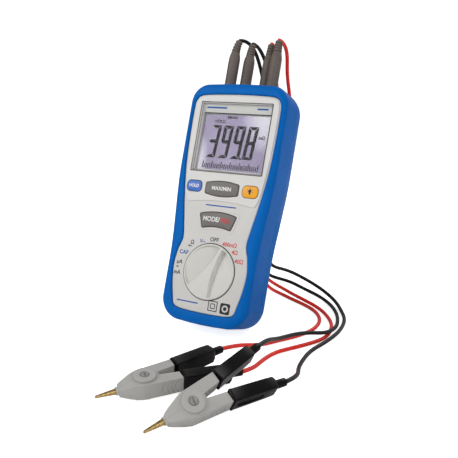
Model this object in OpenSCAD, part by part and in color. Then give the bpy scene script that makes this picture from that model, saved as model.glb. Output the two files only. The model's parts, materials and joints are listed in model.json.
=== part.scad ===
// Hand-held four-wire milliohm meter with two spring-loaded Kelvin clips, standing on its
// fold-out tilt stand. The floor is z = 0, x runs along the meter's width and +y is behind it.
// Meter parts are drawn lying on their back: x across, y up the face, z out of the face.

/* [Meter body] */
// Length of the meter along its face
body_len = 220; // [216:1:224]
// Width of the meter across the display
body_w = 97; // [95:1:99]
// Width of the meter across the selector knob
grip_w = 87; // [86:1:89]
// Depth of the meter from its back to the top of the key plate
body_depth = 51; // [50.5:0.25:51.5]
// Angle of the face above the floor when the stand is open
lean = 70; // [65:1:75]
// Height that the bottom edge is lowered by, so that its rounded back touches the floor
drop = 2.8; // [2.5:0.1:3]

/* [Tilt stand] */
// Angle between the open stand and the back of the meter
stand_open = 34; // [32:1:36]
// Distance of the stand's hinge from the bottom end
stand_hinge_y = 86; // [85.5:0.5:88]
// Half the width of the stand
stand_half_w = 16; // [16:0.1:16.6]
// Thickness of the stand
stand_t = 3.6; // [3:0.1:3.8]

/* [Selector knob] */
// Radius of the knob
knob_r = 24.9; // [24:0.1:25]
// Distance of the knob's centre from the bottom end
knob_y = 47.7; // [47:0.1:49]
// Angle of the pointer, clockwise from the OFF mark
pointer_angle = 22.5; // [-90:22.5:67.5]
// Depth of the finger recesses beside the grip
recess_depth = 5.6; // [4:0.1:6]

/* [Plugs and leads] */
// Radius of a plug body
plug_r = 5.35; // [5:0.05:5.5]
// Distance from the bottom end to the top of a plug body
plug_top_y = 255; // [250:1:260]
// Length of the segmented strain relief
relief_len = 13; // [12:0.5:14]
// Radius of a lead's insulation
lead_r = 1.75; // [1.5:0.05:1.8]

/* [Kelvin clips] */
// Half the thickness of a clip arm, along the pivot
arm_half_t = 6.5; // [6:0.1:6.6]
// Radius of the layered ears round the pivot
ear_r = 10.6; // [10.4:0.1:10.8]
// Angle between a handle and the middle line of the clip
handle_angle = 10; // [9:0.5:10]
// Radius of the pivot screw
pivot_r = 2.55; // [2:0.05:2.6]
// Reach of the gold tips in front of the pivot
tip_reach = 38; // [35:0.5:39]

/* [Hidden] */
$fn = 64;
eps = 0.05;

// Depth levels of the meter, measured from its back
panel_z = body_depth - 0.8;
case_split_z = 28.1;
case_gap = 0.1;
front_plate_z = 43.8;
front_flange_z = 46.4;
panel_under_z = 47.8;
ledge_z = 14.1;
rear_face_z = 0.6;
pocket_z = 5;
board_z = 36;
board_top = board_z + 1.6;

// Case and holster walls
case_inset = 4.4;
case_wall = 2.4;
back_inset = 14;
fit_gap = 0.2;

// Display
display_y = [136.8, 202.1];
display_half_w = 36.2;

// Screws that hold the two case halves together
screw_places = [[22, 132.6], [-22, 132.6], [21.5, 24], [-21.5, 24]];
boss_r = 3.2;
screw_r = 1.5;

// Battery box
battery_size = [26.5, 48.5, 17.5];
battery_pos = [0, 47.3, 16.8];
door_half_w = 15.6;
door_y = [19.6, 82.4];
door_screw_y = 79.2;

// Sockets: x, and distance of the axis from the back
socket_places = [[-21.5, 30], [-10.2, 21], [10.2, 21], [21.5, 30]];
socket_block_y = [193.6, 211.4];
socket_block_half_w = 29;
socket_block_gap = 0.2;
well_floor_y = 199.5;
well_r = 6;

// Tilt stand
stand_hinge_z = 2.7;
stand_rod_r = 1.8;
stand_pin_r = 1.6;
pin_clearance = 0.06;
stand_side_bar = 6;
stand_top_bar = 3.4;
stand_foot_bar = 14;
pocket_half_w = stand_half_w + 0.4;
stand_hinge_height = stand_hinge_y * sin(lean) + stand_hinge_z * cos(lean) - drop;
stand_len = (stand_hinge_height - stand_rod_r) / cos(stand_open - 90 + lean);

// Keys: centre, width, height and corner radius
hold_key = [-28.8, 123, 15, 10, 3.6];
light_key = [27.6, 122.3, 15, 10.4, 3.8];
max_key_centre = [-0.5, 122.4];
key_gap = 0.25;
key_flange = 0.6;
key_flange_z = [45, 46.4];
upper_key_top = body_depth + 1.2;
lower_key_top = panel_z + 1.4;

// Middle of the floor area that the whole set covers, where the origin sits
set_middle = [31.35, -39.59];

// Clips: place of the pivot's middle, and the turn of the clip
red_clip_pos = [13.2, -151, 8.9];
red_clip_turn = [8.7, -2.2, 56.1];
black_clip_pos = [63.5, -168.7, 12.3];
black_clip_turn = [33.3, -8.5, 65.4];

// Clip arm, measured from the pivot with +x towards the handle
jaw_gap = 0.15;
arm_end_x = 26;
arm_line_y = 4;
arm_half_w = 4.2;
nose_x = -20.5;
boot_len = 38;
sleeve_len = 9.5;
sleeve_r = 3.2;
lead_gap = 3;

// ---------- curve helpers ----------

function unit(v) = v / norm(v);

function smooth(a, b, t) =
    let (u = min(max((t - a) / (b - a), 0), 1))
    u * u * (3 - 2 * u);

function arc(c, r, a0, a1, n) =
    [for (i = [0:n]) c + r * [cos(a0 + (a1 - a0) * i / n), sin(a0 + (a1 - a0) * i / n)]];

// Point at fraction t between b and c of a smooth curve through a, b, c and d
function curve_point(a, b, c, d, t) =
    0.5 * (2 * b + (c - a) * t + (2 * a - 5 * b + 4 * c - d) * t * t
        + (3 * b - a - 3 * c + d) * t * t * t);

// Smooth curve through all the points of p, with n steps between neighbours
function curve(p, n) =
    let (last = len(p) - 1)
    concat([for (i = [0:last - 1]) for (k = [0:n - 1])
        curve_point(p[max(i - 1, 0)], p[i], p[i + 1], p[min(i + 2, last)], k / n)], [p[last]]);

// Closed outline from its right half, which runs from the bottom middle to the top middle
function closed(half) =
    concat(half, [for (i = [len(half) - 2:-1:1]) [-half[i][0], half[i][1]]]);

// Outline moved inwards by d along its own normals
function inset(pts, d) =
    let (n = len(pts))
    [for (i = [0:n - 1])
        let (t = unit(pts[(i + 1) % n] - pts[(i + n - 1) % n]))
        pts[i] + d * [-t[1], t[0]]];

// ---------- outlines ----------

bottom_corner_r = 20;
top_corner_r = 17;
end_arch = 0.9;

function side_x(y) = grip_w / 2 + (body_w - grip_w) / 2 * smooth(55, 145, y);

body_half = concat(
    [[0, 0], [12, end_arch * 0.25]],
    arc([grip_w / 2 - bottom_corner_r, bottom_corner_r + end_arch], bottom_corner_r, -86, 0, 9),
    [for (y = [34:12:190]) [side_x(y), y]],
    arc([body_w / 2 - top_corner_r, body_len - top_corner_r - end_arch], top_corner_r, 0, 86, 8),
    [[16, body_len - end_arch * 0.3], [0, body_len]]);
body_pts = closed(body_half);

// Right edge of the grey panel: knob lobe, waist below the mode key, then the display part
panel_half = curve([[0, 10.7], [15, 11], [25, 11.9], [30.4, 14.4], [32.4, 21], [35.3, 34],
    [36.9, 49.5], [35.2, 63.5], [32, 75], [34, 90], [37.4, 109], [41.6, 139], [43.2, 170],
    [43.3, 196], [42, 203.4], [37.5, 207.6], [25, 209], [0, 209.6]], 4);
panel_pts = closed(panel_half);

module body_prism(d, z0, z1) {
    translate([0, 0, z0]) linear_extrude(z1 - z0) polygon(inset(body_pts, d));
}

module panel_prism(d, z0, z1) {
    translate([0, 0, z0]) linear_extrude(z1 - z0) polygon(inset(panel_pts, d));
}

// ---------- general shapes ----------

// Block between two corners
module block(low, high) {
    translate(low) cube(high - low);
}

// Rectangle with round corners, centred on the origin
module round_rect(w, h, r) {
    square([w - 2 * r, h], center = true);
    square([w, h - 2 * r], center = true);
    for (sx = [-1, 1]) for (sy = [-1, 1])
        translate([sx * (w / 2 - r), sy * (h / 2 - r)]) circle(r, $fn = 32);
}

// Block with round corners between two corners
module round_block(low, high, r) {
    size = high - low;
    translate([(low[0] + high[0]) / 2, (low[1] + high[1]) / 2, low[2]])
        linear_extrude(size[2]) round_rect(size[0], size[1], r);
}

// Cylinder along y
module rod_y(x, z, r, y0, y1) {
    translate([x, y0, z]) rotate([-90, 0, 0]) cylinder(h = y1 - y0, r = r);
}

// Solid through closed rings of points that all have the same count
module loft(rings) {
    n = len(rings[0]);
    last = len(rings) - 1;
    points = [for (ring = rings) for (p = ring) p];
    sides = [for (k = [0:last - 1]) for (i = [0:n - 1])
        [k * n + i, (k + 1) * n + i, (k + 1) * n + (i + 1) % n, k * n + (i + 1) % n]];
    bottom = [for (i = [0:n - 1]) i];
    top = [for (i = [n - 1:-1:0]) last * n + i];
    polyhedron(points, concat([bottom, top], sides), convexity = 8);
}

function tangent(p, i) = unit(p[min(i + 1, len(p) - 1)] - p[max(i - 1, 0)]);
function across(v, t) = unit(v - (v * t) * t);

// Directions square to the path, carried along it without twisting
function path_sides(p, first) =
    [for (i = 0, n = across(first, tangent(p, 0)); i < len(p);
        n = across(n, tangent(p, min(i + 1, len(p) - 1))), i = i + 1) n];

// Round wire of radius r along the path p
module wire(p, r, sides, first = [1, 0, 0]) {
    n = path_sides(p, first);
    loft([for (i = [0:len(p) - 1])
        let (u = n[i], v = cross(tangent(p, i), u))
        [for (k = [0:sides - 1])
            p[i] + r * (cos(-360 * k / sides) * u + sin(-360 * k / sides) * v)]]);
}

// Helical spring along z, from the origin
module coil(mean_r, wire_r, height, turns, steps, sides) {
    path = [for (i = [0:turns * steps])
        [mean_r * cos(360 * i / steps), mean_r * sin(360 * i / steps),
            height * i / (turns * steps)]];
    wire(path, wire_r, sides, [0, 0, 1]);
}

// Moves the whole set so that its middle stands over the origin
module on_floor() {
    translate([-set_middle[0], -set_middle[1], 0]) children();
}

// Puts a meter part in its place, leaning back on the stand
module in_place() {
    translate([0, 0, -drop]) rotate([lean, 0, 0]) children();
}

// ---------- meter housing ----------

// One ring of the holster's skin: z, narrowing of each side, of the bottom and of the top end
function skin_ring(s) =
    [for (p = body_pts)
        [p[0] * (1 - 2 * s[1] / body_w), s[2] + p[1] * (body_len - s[2] - s[3]) / body_len, s[0]]];

skin_levels = [[0, 10.5, 3.3, 7], [1.2, 8.2, 2.3, 5.2], [3, 6.4, 1.7, 4], [6, 4.3, 1.05, 2.6],
    [10, 2.5, 0.55, 1.5], [15, 1.2, 0.2, 0.7], [21, 0.3, 0.05, 0.2], [26, 0, 0, 0],
    [47.4, 0, 0, 0], [49.4, 0.4, 0.4, 0.4], [50.8, 1.4, 1.4, 1.4], [51.5, 3, 3, 3]];

module stand_pocket() {
    block([-pocket_half_w, -1, -1], [pocket_half_w, stand_hinge_y + 2.7, pocket_z]);
}

module socket_holes(r, y0, y1) {
    for (p = socket_places) rod_y(p[0], p[1], r, y0, y1);
}

module holster() {
    color("royalblue") in_place() difference() {
        loft([for (s = skin_levels) skin_ring(s)]);
        body_prism(case_inset - fit_gap, ledge_z, front_flange_z + fit_gap);
        body_prism(back_inset - fit_gap, -1, ledge_z + eps);
        panel_prism(-fit_gap, front_flange_z, body_depth + 2);
        stand_pocket();
        socket_holes(well_r + fit_gap, 205, body_len + 1);
    }
}

module key_outline(k) {
    translate([k[0], k[1]]) round_rect(k[2], k[3], k[4]);
}

// Barrel-shaped key face: two long arcs closed by straight ends
module max_key_outline(grow = 0) {
    arc_r = 60.3;
    half_h = 6.8 + grow;
    translate(max_key_centre) intersection() {
        translate([0, half_h - arc_r]) circle(arc_r, $fn = 256);
        translate([0, arc_r - half_h]) circle(arc_r, $fn = 256);
        round_rect(33 + 2 * grow, 2 * half_h, 2.4);
    }
}

// Fan-shaped key face between two arcs
module mode_key_outline(grow = 0) {
    difference() {
        intersection() {
            polygon([[-14.3 - grow, 84], [14.3 + grow, 84], [19 + grow, 102.5], [-19 - grow, 102.5]]);
            translate([0, 37.8]) circle(63.4 + grow, $fn = 256);
        }
        translate([0, 33.4]) circle(54.8 - grow, $fn = 256);
    }
}

module upper_key_openings() {
    round_rect_key(hold_key, key_gap);
    round_rect_key(light_key, key_gap);
    max_key_outline(key_gap);
}

module round_rect_key(k, grow) {
    key_outline([k[0], k[1], k[2] + 2 * grow, k[3] + 2 * grow, k[4]]);
}

module front_bosses() {
    for (p = screw_places)
        translate([p[0], p[1], case_split_z + case_gap])
            cylinder(h = panel_under_z - case_split_z, r = boss_r);
}

module front_case() {
    lower_y = 131.5;
    color("gainsboro") in_place() difference() {
        union() {
            difference() {
                union() {
                    body_prism(case_inset, case_split_z + case_gap, front_flange_z);
                    panel_prism(0, front_flange_z - eps, panel_z);
                }
                body_prism(case_inset + case_wall, case_split_z - 1, front_plate_z);
                intersection() {
                    panel_prism(2, front_plate_z - eps, panel_under_z);
                    block([-60, 0, 40], [60, lower_y, 60]);
                }
            }
            front_bosses();
        }
        for (p = screw_places)
            translate([p[0], p[1], case_split_z - 1]) cylinder(h = 15, r = screw_r + 0.05);
        block([-display_half_w - 0.1, display_y[0] - 0.1, 45.4],
            [display_half_w + 0.1, display_y[1] + 0.1, 60]);
        block([-34.8, 138.7, 40], [34.8, 192.9, 46]);
        translate([0, 0, 40]) linear_extrude(20) upper_key_openings();
        translate([0, 0, 40]) linear_extrude(20) mode_key_outline(key_gap);
        translate([0, knob_y, 40]) cylinder(h = 20, r = knob_r + 0.4, $fn = 128);
        socket_holes(well_r, 205, body_len);
    }
}

// Thin raised plate round the display and the three upper keys
module face_plate() {
    arch_r = 182.6;
    color("whitesmoke") in_place() difference() {
        panel_prism(1.4, panel_z + eps, body_depth);
        translate([0, 111.4 - arch_r, 40]) cylinder(h = 20, r = arch_r, $fn = 512);
        block([-display_half_w - 0.1, display_y[0] - 0.1, 40],
            [display_half_w + 0.1, display_y[1] + 0.1, 60]);
        translate([0, 0, 40]) linear_extrude(20) upper_key_openings();
    }
}

module battery_box_walls() {
    low = battery_pos - battery_size / 2 - [2.2, 2.2, 0];
    high = battery_pos + battery_size / 2 + [2.2, 5.8, 2.3];
    block([low[0], low[1], pocket_z], high);
}

module battery_box_room() {
    block(battery_pos - battery_size / 2 - [0.7, 0.7, 10],
        battery_pos + battery_size / 2 + [0.7, 3.9, 0.7]);
}

module rear_bosses() {
    for (p = screw_places)
        translate([p[0], p[1], rear_face_z + 1])
            cylinder(h = case_split_z - case_gap - rear_face_z - 1, r = 4.2);
    translate([0, door_screw_y, pocket_z]) cylinder(h = 6, r = 3);
}

module rear_screw_holes() {
    for (p = screw_places) {
        translate([p[0], p[1], -1]) cylinder(h = 23, r = 3.3);
        translate([p[0], p[1], 20]) cylinder(h = 10, r = screw_r + 0.2);
    }
}

module rear_case() {
    floor_t = 2.4;
    color("dimgray") in_place() difference() {
        union() {
            difference() {
                union() {
                    body_prism(case_inset, ledge_z + fit_gap, case_split_z - case_gap);
                    body_prism(back_inset, rear_face_z, ledge_z + 1);
                }
                body_prism(case_inset + case_wall, ledge_z + fit_gap + floor_t, 40);
                body_prism(back_inset + case_wall, rear_face_z + floor_t, 20);
            }
            intersection() {
                body_prism(back_inset, rear_face_z, 20);
                block([-pocket_half_w - 2.2, 0, rear_face_z],
                    [pocket_half_w + 2.2, stand_hinge_y + 5, pocket_z + floor_t]);
            }
            battery_box_walls();
            rear_bosses();
        }
        stand_pocket();
        battery_box_room();
        block([-door_half_w - 0.15, door_y[0] - 0.15, 0],
            [door_half_w + 0.15, door_y[1] + 0.15, pocket_z + 1.4]);
        translate([0, door_screw_y, 0]) cylinder(h = 9.5, r = 1.3);
        rear_screw_holes();
        translate([-40, stand_hinge_y, stand_hinge_z]) rotate([0, 90, 0])
            cylinder(h = 80, r = stand_pin_r + pin_clearance);
        block([-socket_block_half_w - socket_block_gap, socket_block_y[0] - socket_block_gap, ledge_z],
            [socket_block_half_w + socket_block_gap, socket_block_y[1] + socket_block_gap, 30]);
        socket_holes(well_r, 205, body_len);
    }
}

module case_screws() {
    color("silver") in_place() for (p = screw_places) translate([p[0], p[1], 0]) difference() {
        union() {
            translate([0, 0, 19.6]) cylinder(h = 2.3, r = 3);
            translate([0, 0, 20]) cylinder(h = 17, r = screw_r);
        }
        translate([0, 0, 19.5]) for (a = [0, 90]) rotate(a) cube([3.6, 0.9, 2.4], center = true);
    }
}

// ---------- display ----------

module display_bezel() {
    mid_y = (display_y[0] + display_y[1]) / 2;
    half_h = (display_y[1] - display_y[0]) / 2;
    top_z = body_depth - 0.1;
    low_z = 47.1;
    color("darkgray") in_place() difference() {
        block([-display_half_w, display_y[0], low_z], [display_half_w, display_y[1], top_z]);
        translate([0, mid_y, 0]) hull() {
            translate([0, 0, top_z]) cube([70.6, 2 * half_h - 1.6, 0.1], center = true);
            translate([0, 0, low_z]) cube([67, 2 * half_h - 4.6, 0.1], center = true);
        }
    }
}

module display_window() {
    color("lightgray", 0.4) in_place()
        block([-display_half_w + 0.1, display_y[0] + 0.1, 45.5],
            [display_half_w - 0.1, display_y[1] - 0.1, 47]);
}

module lcd_panel() {
    color("lightsteelblue") in_place()
        block([-33.2, 140.3, 43.1], [33.2, 191.5, 45.2]);
}

module lcd_holder() {
    color("white") in_place() difference() {
        block([-34.6, 138.9, board_top + eps], [34.6, 192.7, 45.3]);
        block([-33.4, 140.1, 30], [33.4, 191.7, 50]);
    }
}

module lcd_backlight() {
    color("aliceblue") in_place() round_block([-33, 143, 39.2], [33, 187.6, 42.9], 1);
}

// Rubber strips that carry the signals from the board up to the display glass
module lcd_zebra_strips() {
    color("pink") in_place() for (y = [140.4, 188.4])
        block([-31, y, board_top + eps], [31, y + 2.2, 43]);
}

// ---------- electronics ----------

module main_board() {
    color("darkgreen") in_place() difference() {
        body_prism(case_inset + case_wall + 1, board_z, board_top);
        block([-60, 193, 30], [60, 230, 40]);
        translate([0, knob_y, 30]) cylinder(h = 10, r = 4.05);
        for (p = screw_places) translate([p[0], p[1], 30]) cylinder(h = 10, r = boss_r + 0.5);
    }
}

// Main parts on the back of the board: low corner, width, height and depth
chips = [[-14, 92, 13, 13, 2.2], [8, 96, 9, 7, 1.8], [-30, 70, 8, 12, 2], [22, 60, 9, 6, 1.8],
    [24, 150, 11, 15, 7], [-34, 146, 12, 14, 7], [-8, 150, 16, 10, 3]];
capacitors = [[-26, 96, 3.2, 7], [32, 100, 3.2, 7], [14, 172, 4, 9], [-20, 172, 4, 9]];

module board_components() {
    under = board_z - eps;
    color("dimgray") in_place() {
        for (c = chips) block([c[0], c[1], under - c[4]], [c[0] + c[2], c[1] + c[3], under]);
        for (c = capacitors) translate([c[0], c[1], under - c[3]]) cylinder(h = c[3], r = c[2]);
    }
}

module buzzer() {
    color("black") in_place() translate([24, 80, board_z - 6.1]) difference() {
        cylinder(h = 6, r = 6);
        translate([0, 0, -1]) cylinder(h = 2, r = 1.1);
    }
}

fuse_y = [114, 124];
fuse_z = 31.6;

module fuses() {
    color("ivory") in_place() for (y = fuse_y)
        translate([-16, y, fuse_z]) rotate([0, 90, 0]) {
            cylinder(h = 32, r = 2.7);
            cylinder(h = 6, r = 3.1);
            translate([0, 0, 26]) cylinder(h = 6, r = 3.1);
        }
}

module fuse_clips() {
    color("silver") in_place() for (y = fuse_y) for (x = [-14.6, 11]) difference() {
        block([x, y - 3.7, fuse_z - 1.6], [x + 3.6, y + 3.7, board_z - eps]);
        translate([x - 1, y, fuse_z]) rotate([0, 90, 0]) cylinder(h = 6, r = 3.2);
    }
}

module socket_block() {
    color("black") in_place() difference() {
        block([-socket_block_half_w, socket_block_y[0], 14.4],
            [socket_block_half_w, socket_block_y[1], 37.4]);
        socket_holes(well_r, well_floor_y, 220);
        socket_holes(3.05, 190, 200);
    }
}

module socket_sleeves() {
    color("gold") in_place() difference() {
        socket_holes(3, socket_block_y[0], 212);
        socket_holes(2.05, well_floor_y, 220);
    }
}

// ---------- keys ----------

module keypad_mat() {
    dome_places = [[-28.8, 123], [-8, 122.4], [7, 122.4], [27.6, 122.3], [0, 93.8]];
    sheet_top = board_top + 1;
    color("dimgray") in_place() {
        round_block([-37.4, 115, board_top + eps], [36.8, 128.6, sheet_top], 2);
        block([-8, 100, board_top + eps], [8, 116, sheet_top]);
        round_block([-15, 88, board_top + eps], [15, 101, sheet_top], 2);
        for (p = dome_places) translate([p[0], p[1], board_top + eps])
            cylinder(h = 43.6 - board_top, r = 3.6);
    }
}

module hold_button() {
    color("cornflowerblue") in_place() {
        translate([0, 0, key_flange_z[0]])
            linear_extrude(upper_key_top - key_flange_z[0]) key_outline(hold_key);
        translate([0, 0, key_flange_z[0]])
            linear_extrude(key_flange_z[1] - key_flange_z[0]) round_rect_key(hold_key, key_flange);
    }
}

module max_min_button() {
    color("gray") in_place() {
        translate([0, 0, key_flange_z[0]])
            linear_extrude(upper_key_top - key_flange_z[0]) max_key_outline();
        translate([0, 0, key_flange_z[0]])
            linear_extrude(key_flange_z[1] - key_flange_z[0]) max_key_outline(key_flange);
    }
}

module backlight_button() {
    color("orange") in_place() {
        translate([0, 0, key_flange_z[0]])
            linear_extrude(upper_key_top - key_flange_z[0]) key_outline(light_key);
        translate([0, 0, key_flange_z[0]])
            linear_extrude(key_flange_z[1] - key_flange_z[0]) round_rect_key(light_key, key_flange);
    }
}

module mode_button() {
    color("gray") in_place() {
        translate([0, 0, key_flange_z[0]])
            linear_extrude(lower_key_top - key_flange_z[0]) mode_key_outline();
        translate([0, 0, key_flange_z[0]])
            linear_extrude(key_flange_z[1] - key_flange_z[0]) mode_key_outline(key_flange);
    }
}

// ---------- selector ----------

// Turns children to the knob's frame: origin at its centre, +y towards the pointer
module on_knob() {
    translate([0, knob_y, 0]) rotate(-pointer_angle) children();
}

// Half width of the grip at height y, narrow at the pointer and broad at the tail
function grip_x(y) = 1.2 + 13.4 * pow((22.6 - y) / 41.4, 3.2);

module finger_recess(knob_top) {
    rim_r = knob_r - 1.3;
    floor_angle = atan(recess_depth / (rim_r - 2));
    grip_edge = [for (y = [22.6:-3.45:-18.9]) [grip_x(y), y]];
    intersection() {
        translate([0, 0, knob_top - 10]) linear_extrude(20) intersection() {
            circle(rim_r, $fn = 128);
            polygon(concat(grip_edge, [[30, -30], [30, 30]]));
        }
        translate([rim_r, 0, knob_top]) rotate([0, -floor_angle, 0])
            block([-60, -40, 0], [20, 40, 30]);
    }
}

module selector_knob() {
    knob_top = body_depth + 0.5;
    color("gainsboro") in_place() on_knob() {
        difference() {
            translate([0, 0, 44.6]) cylinder(h = knob_top - 44.6, r = knob_r, $fn = 128);
            finger_recess(knob_top);
            mirror([1, 0, 0]) finger_recess(knob_top);
        }
        translate([0, 0, 31.2]) cylinder(h = 14, r = 4);
    }
}

module selector_rotor() {
    rotor_r = 16.8;
    color("white") in_place() on_knob() difference() {
        union() {
            translate([0, 0, 38.9]) cylinder(h = 1.5, r = rotor_r);
            translate([0, 0, 38.9]) cylinder(h = 5.6, r = 8);
        }
        translate([0, 0, 30]) cylinder(h = 20, r = 4.02);
        for (a = [0:22.5:359]) rotate(a) translate([rotor_r + 0.4, 0, 30]) cylinder(h = 20, r = 1.2);
    }
}

module wiper_contacts() {
    color("gold") in_place() on_knob() for (a = [30:120:359]) rotate(a)
        block([7, -1.2, board_top + 0.15], [15, 1.2, 38.85]);
}

module knob_retaining_ring() {
    color("silver") in_place() on_knob() translate([0, 0, 34.6]) difference() {
        cylinder(h = 1.2, r = 6.6);
        translate([0, 0, -1]) cylinder(h = 4, r = 4.02);
        block([0, -2.4, -1], [8, 2.4, 4]);
    }
}

detent_angles = [45, 225];
detent_z = 39.65;

module on_detents() {
    for (a = detent_angles) translate([0, knob_y, detent_z]) rotate(a) rotate([0, 90, 0]) children();
}

module detent_carrier() {
    color("lightgray") in_place() difference() {
        translate([0, knob_y, board_top + eps]) difference() {
            cylinder(h = 4.1, r = 26);
            translate([0, 0, -1]) cylinder(h = 8, r = 17.2);
        }
        on_detents() translate([0, 0, 15]) cylinder(h = 9.6, r = 1.35);
    }
}

module detent_balls() {
    color("silver") in_place() on_detents() translate([0, 0, 18.15]) sphere(1.2, $fn = 32);
}

module detent_springs() {
    color("silver") in_place() on_detents() translate([0, 0, 19.7])
        coil(0.85, 0.2, 4.4, 4, 10, 5);
}

// ---------- battery and its door ----------

module battery() {
    end_y = battery_pos[1] + battery_size[1] / 2 - 1;
    color("darkslategray") in_place() {
        block(battery_pos - battery_size / 2, battery_pos + battery_size / 2 - [0, 1, 0]);
        for (x = [-6.3, 6.3]) rod_y(x, battery_pos[2], 2.7, end_y, end_y + 2.2);
    }
}

module battery_snap() {
    snap_y = battery_pos[1] + battery_size[1] / 2;
    color("black") in_place() difference() {
        block([-12.6, snap_y + 0.2, battery_pos[2] - 6.5], [12.6, snap_y + 3.4, battery_pos[2] + 6.5]);
        for (x = [-6.3, 6.3]) rod_y(x, battery_pos[2], 2.8, snap_y, snap_y + 1.4);
    }
}

module battery_door() {
    color("dimgray") in_place() difference() {
        block([-door_half_w, door_y[0], pocket_z + 0.1], [door_half_w, door_y[1], pocket_z + 1.3]);
        translate([0, door_screw_y, 0]) cylinder(h = 10, r = 1.4);
        for (y = [25:3:37]) block([-9, y, 0], [9, y + 1.2, pocket_z + 0.5]);
    }
}

module battery_door_screw() {
    color("silver") in_place() translate([0, door_screw_y, 0]) difference() {
        union() {
            translate([0, 0, pocket_z - 1.2]) cylinder(h = 1.25, r = 2.4);
            translate([0, 0, pocket_z - 0.1]) cylinder(h = 4.4, r = 1.2);
        }
        translate([0, 0, pocket_z - 1.2]) for (a = [0, 90]) rotate(a)
            cube([3, 0.7, 1], center = true);
    }
}

// ---------- tilt stand ----------

module tilt_stand() {
    half_t = stand_t / 2;
    color("dimgray") in_place() translate([0, stand_hinge_y, stand_hinge_z])
        rotate([stand_open, 0, 0]) {
            difference() {
                block([-stand_half_w, -stand_len, -half_t], [stand_half_w, 0, half_t]);
                round_block([stand_side_bar - stand_half_w, stand_foot_bar - stand_len, -5],
                    [stand_half_w - stand_side_bar, -stand_top_bar, 5], 5);
            }
            translate([-stand_half_w, 0, 0]) rotate([0, 90, 0])
                cylinder(h = 2 * stand_half_w, r = 2.1);
            translate([-stand_half_w, -stand_len, 0]) rotate([0, 90, 0])
                cylinder(h = 2 * stand_half_w, r = stand_rod_r);
            translate([-stand_half_w - 3.6, 0, 0]) rotate([0, 90, 0])
                cylinder(h = 2 * stand_half_w + 7.2, r = stand_pin_r);
        }
}

// ---------- plugs ----------

module plug_bodies() {
    profile = [[3.6, 200.5], [plug_r, 200.5], [plug_r, plug_top_y - 7], [5, plug_top_y - 3.5],
        [4.3, plug_top_y], [0, plug_top_y], [0, 238], [2.05, 238], [2.05, 221], [3.6, 221]];
    color("black") in_place() for (p = socket_places)
        translate([p[0], 0, p[1]]) rotate([-90, 0, 0]) rotate_extrude() polygon(profile);
}

module plug_pins() {
    color("gold") in_place() socket_holes(2, 201.5, 237.5);
}

module plug_strain_reliefs() {
    count = 5;
    step = relief_len / count;
    function relief_r(k) = 4.1 - 0.2 * k;
    profile = concat([[0, 0]],
        [for (k = [0:count - 1]) each [[relief_r(k), k * step], [relief_r(k), (k + 0.62) * step],
            [relief_r(k) - 0.8, (k + 0.7) * step], [relief_r(k) - 0.8, (k + 1) * step]]],
        [[0, relief_len]]);
    color("black") in_place() for (p = socket_places)
        translate([p[0], plug_top_y + eps, p[1]]) rotate([-90, 0, 0])
            rotate_extrude() polygon(profile);
}

// ---------- leads ----------

// A point of a leaning meter in the frame of the floor
function meter_point(p) =
    [p[0], p[1] * cos(lean) - p[2] * sin(lean), p[1] * sin(lean) + p[2] * cos(lean) - drop];

function relief_end(k, beyond) =
    meter_point([socket_places[k][0], plug_top_y + relief_len + beyond, socket_places[k][1]]);

// A point of a clip in the frame of the floor
function turn_x(p, a) = [p[0], p[1] * cos(a) - p[2] * sin(a), p[1] * sin(a) + p[2] * cos(a)];
function turn_y(p, a) = [p[0] * cos(a) + p[2] * sin(a), p[1], p[2] * cos(a) - p[0] * sin(a)];
function turn_z(p, a) = [p[0] * cos(a) - p[1] * sin(a), p[0] * sin(a) + p[1] * cos(a), p[2]];
function clip_point(p, pos, turn) = pos + turn_z(turn_y(turn_x(p, turn[0]), turn[1]), turn[2]);

// A point on a handle's middle line, at distance u from the pivot's cross line
function handle_point(u, side) =
    [u * cos(handle_angle), side * (arm_line_y + u * sin(handle_angle)), 0];

sleeve_end = arm_end_x / cos(handle_angle) + 0.3 + boot_len + sleeve_len;

// End of a lead where it leaves a handle: side is 1 for the moving arm, -1 for the fixed one
function handle_exit(pos, turn, side, beyond) =
    clip_point(handle_point(sleeve_end + (side > 0 ? lead_gap : 0.4) + beyond, side), pos, turn);

// Points that each lead passes through behind the meter and on the floor
black_current_way = [[-13, 78, 255], [-8, 89, 231], [-4, 98, 180], [-2, 101, 110], [0, 98, 60],
    [4, 94, 32], [20, 102, 27], [38, 105, 20], [58, 104, 12], [76, 96, 5], [90, 77, 2.1],
    [100, 56, 2.1], [104, 27, 2.1], [101, -1, 2.1], [96, -25, 2.1], [97, -49, 2.1],
    [100.4, -64.5, 3.8], [106.2, -79.8, 8.2], [109.5, -96, 12.7]];
black_sense_way = [[-7, 83, 252], [-3, 91, 236], [2, 105, 175], [3, 109, 100], [-5, 106, 45],
    [-6, 103, 20], [22, 109, 12], [38, 106, 8], [56, 101, 5], [73, 90, 2.5], [88, 68, 2.1],
    [96, 47, 2.1], [100, 24, 4.8], [97, 6, 7], [87, -5, 9.5], [81, -21, 13], [78, -51, 20],
    [78.3, -62.4, 23.7], [80, -74.6, 28.6], [81.3, -87.5, 32.3]];
red_current_way = [[10, 81, 253], [7, 89, 238], [6, 97, 214], [8, 107, 170], [0, 114, 100],
    [-10, 113, 45], [-10, 108, 17], [24, 93, 7.5], [46, 85, 4], [66, 75, 2.1], [81, 59, 2.1], [93, 39, 2.1],
    [97, 23, 2.1], [97, 5, 2.1], [89, -12, 2.1], [80, -27, 2.1], [71, -41, 2.1], [68, -57, 2.2],
    [68.2, -67.5, 3.2], [70.2, -79.5, 5.6], [70.6, -92, 8.3]];
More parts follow.
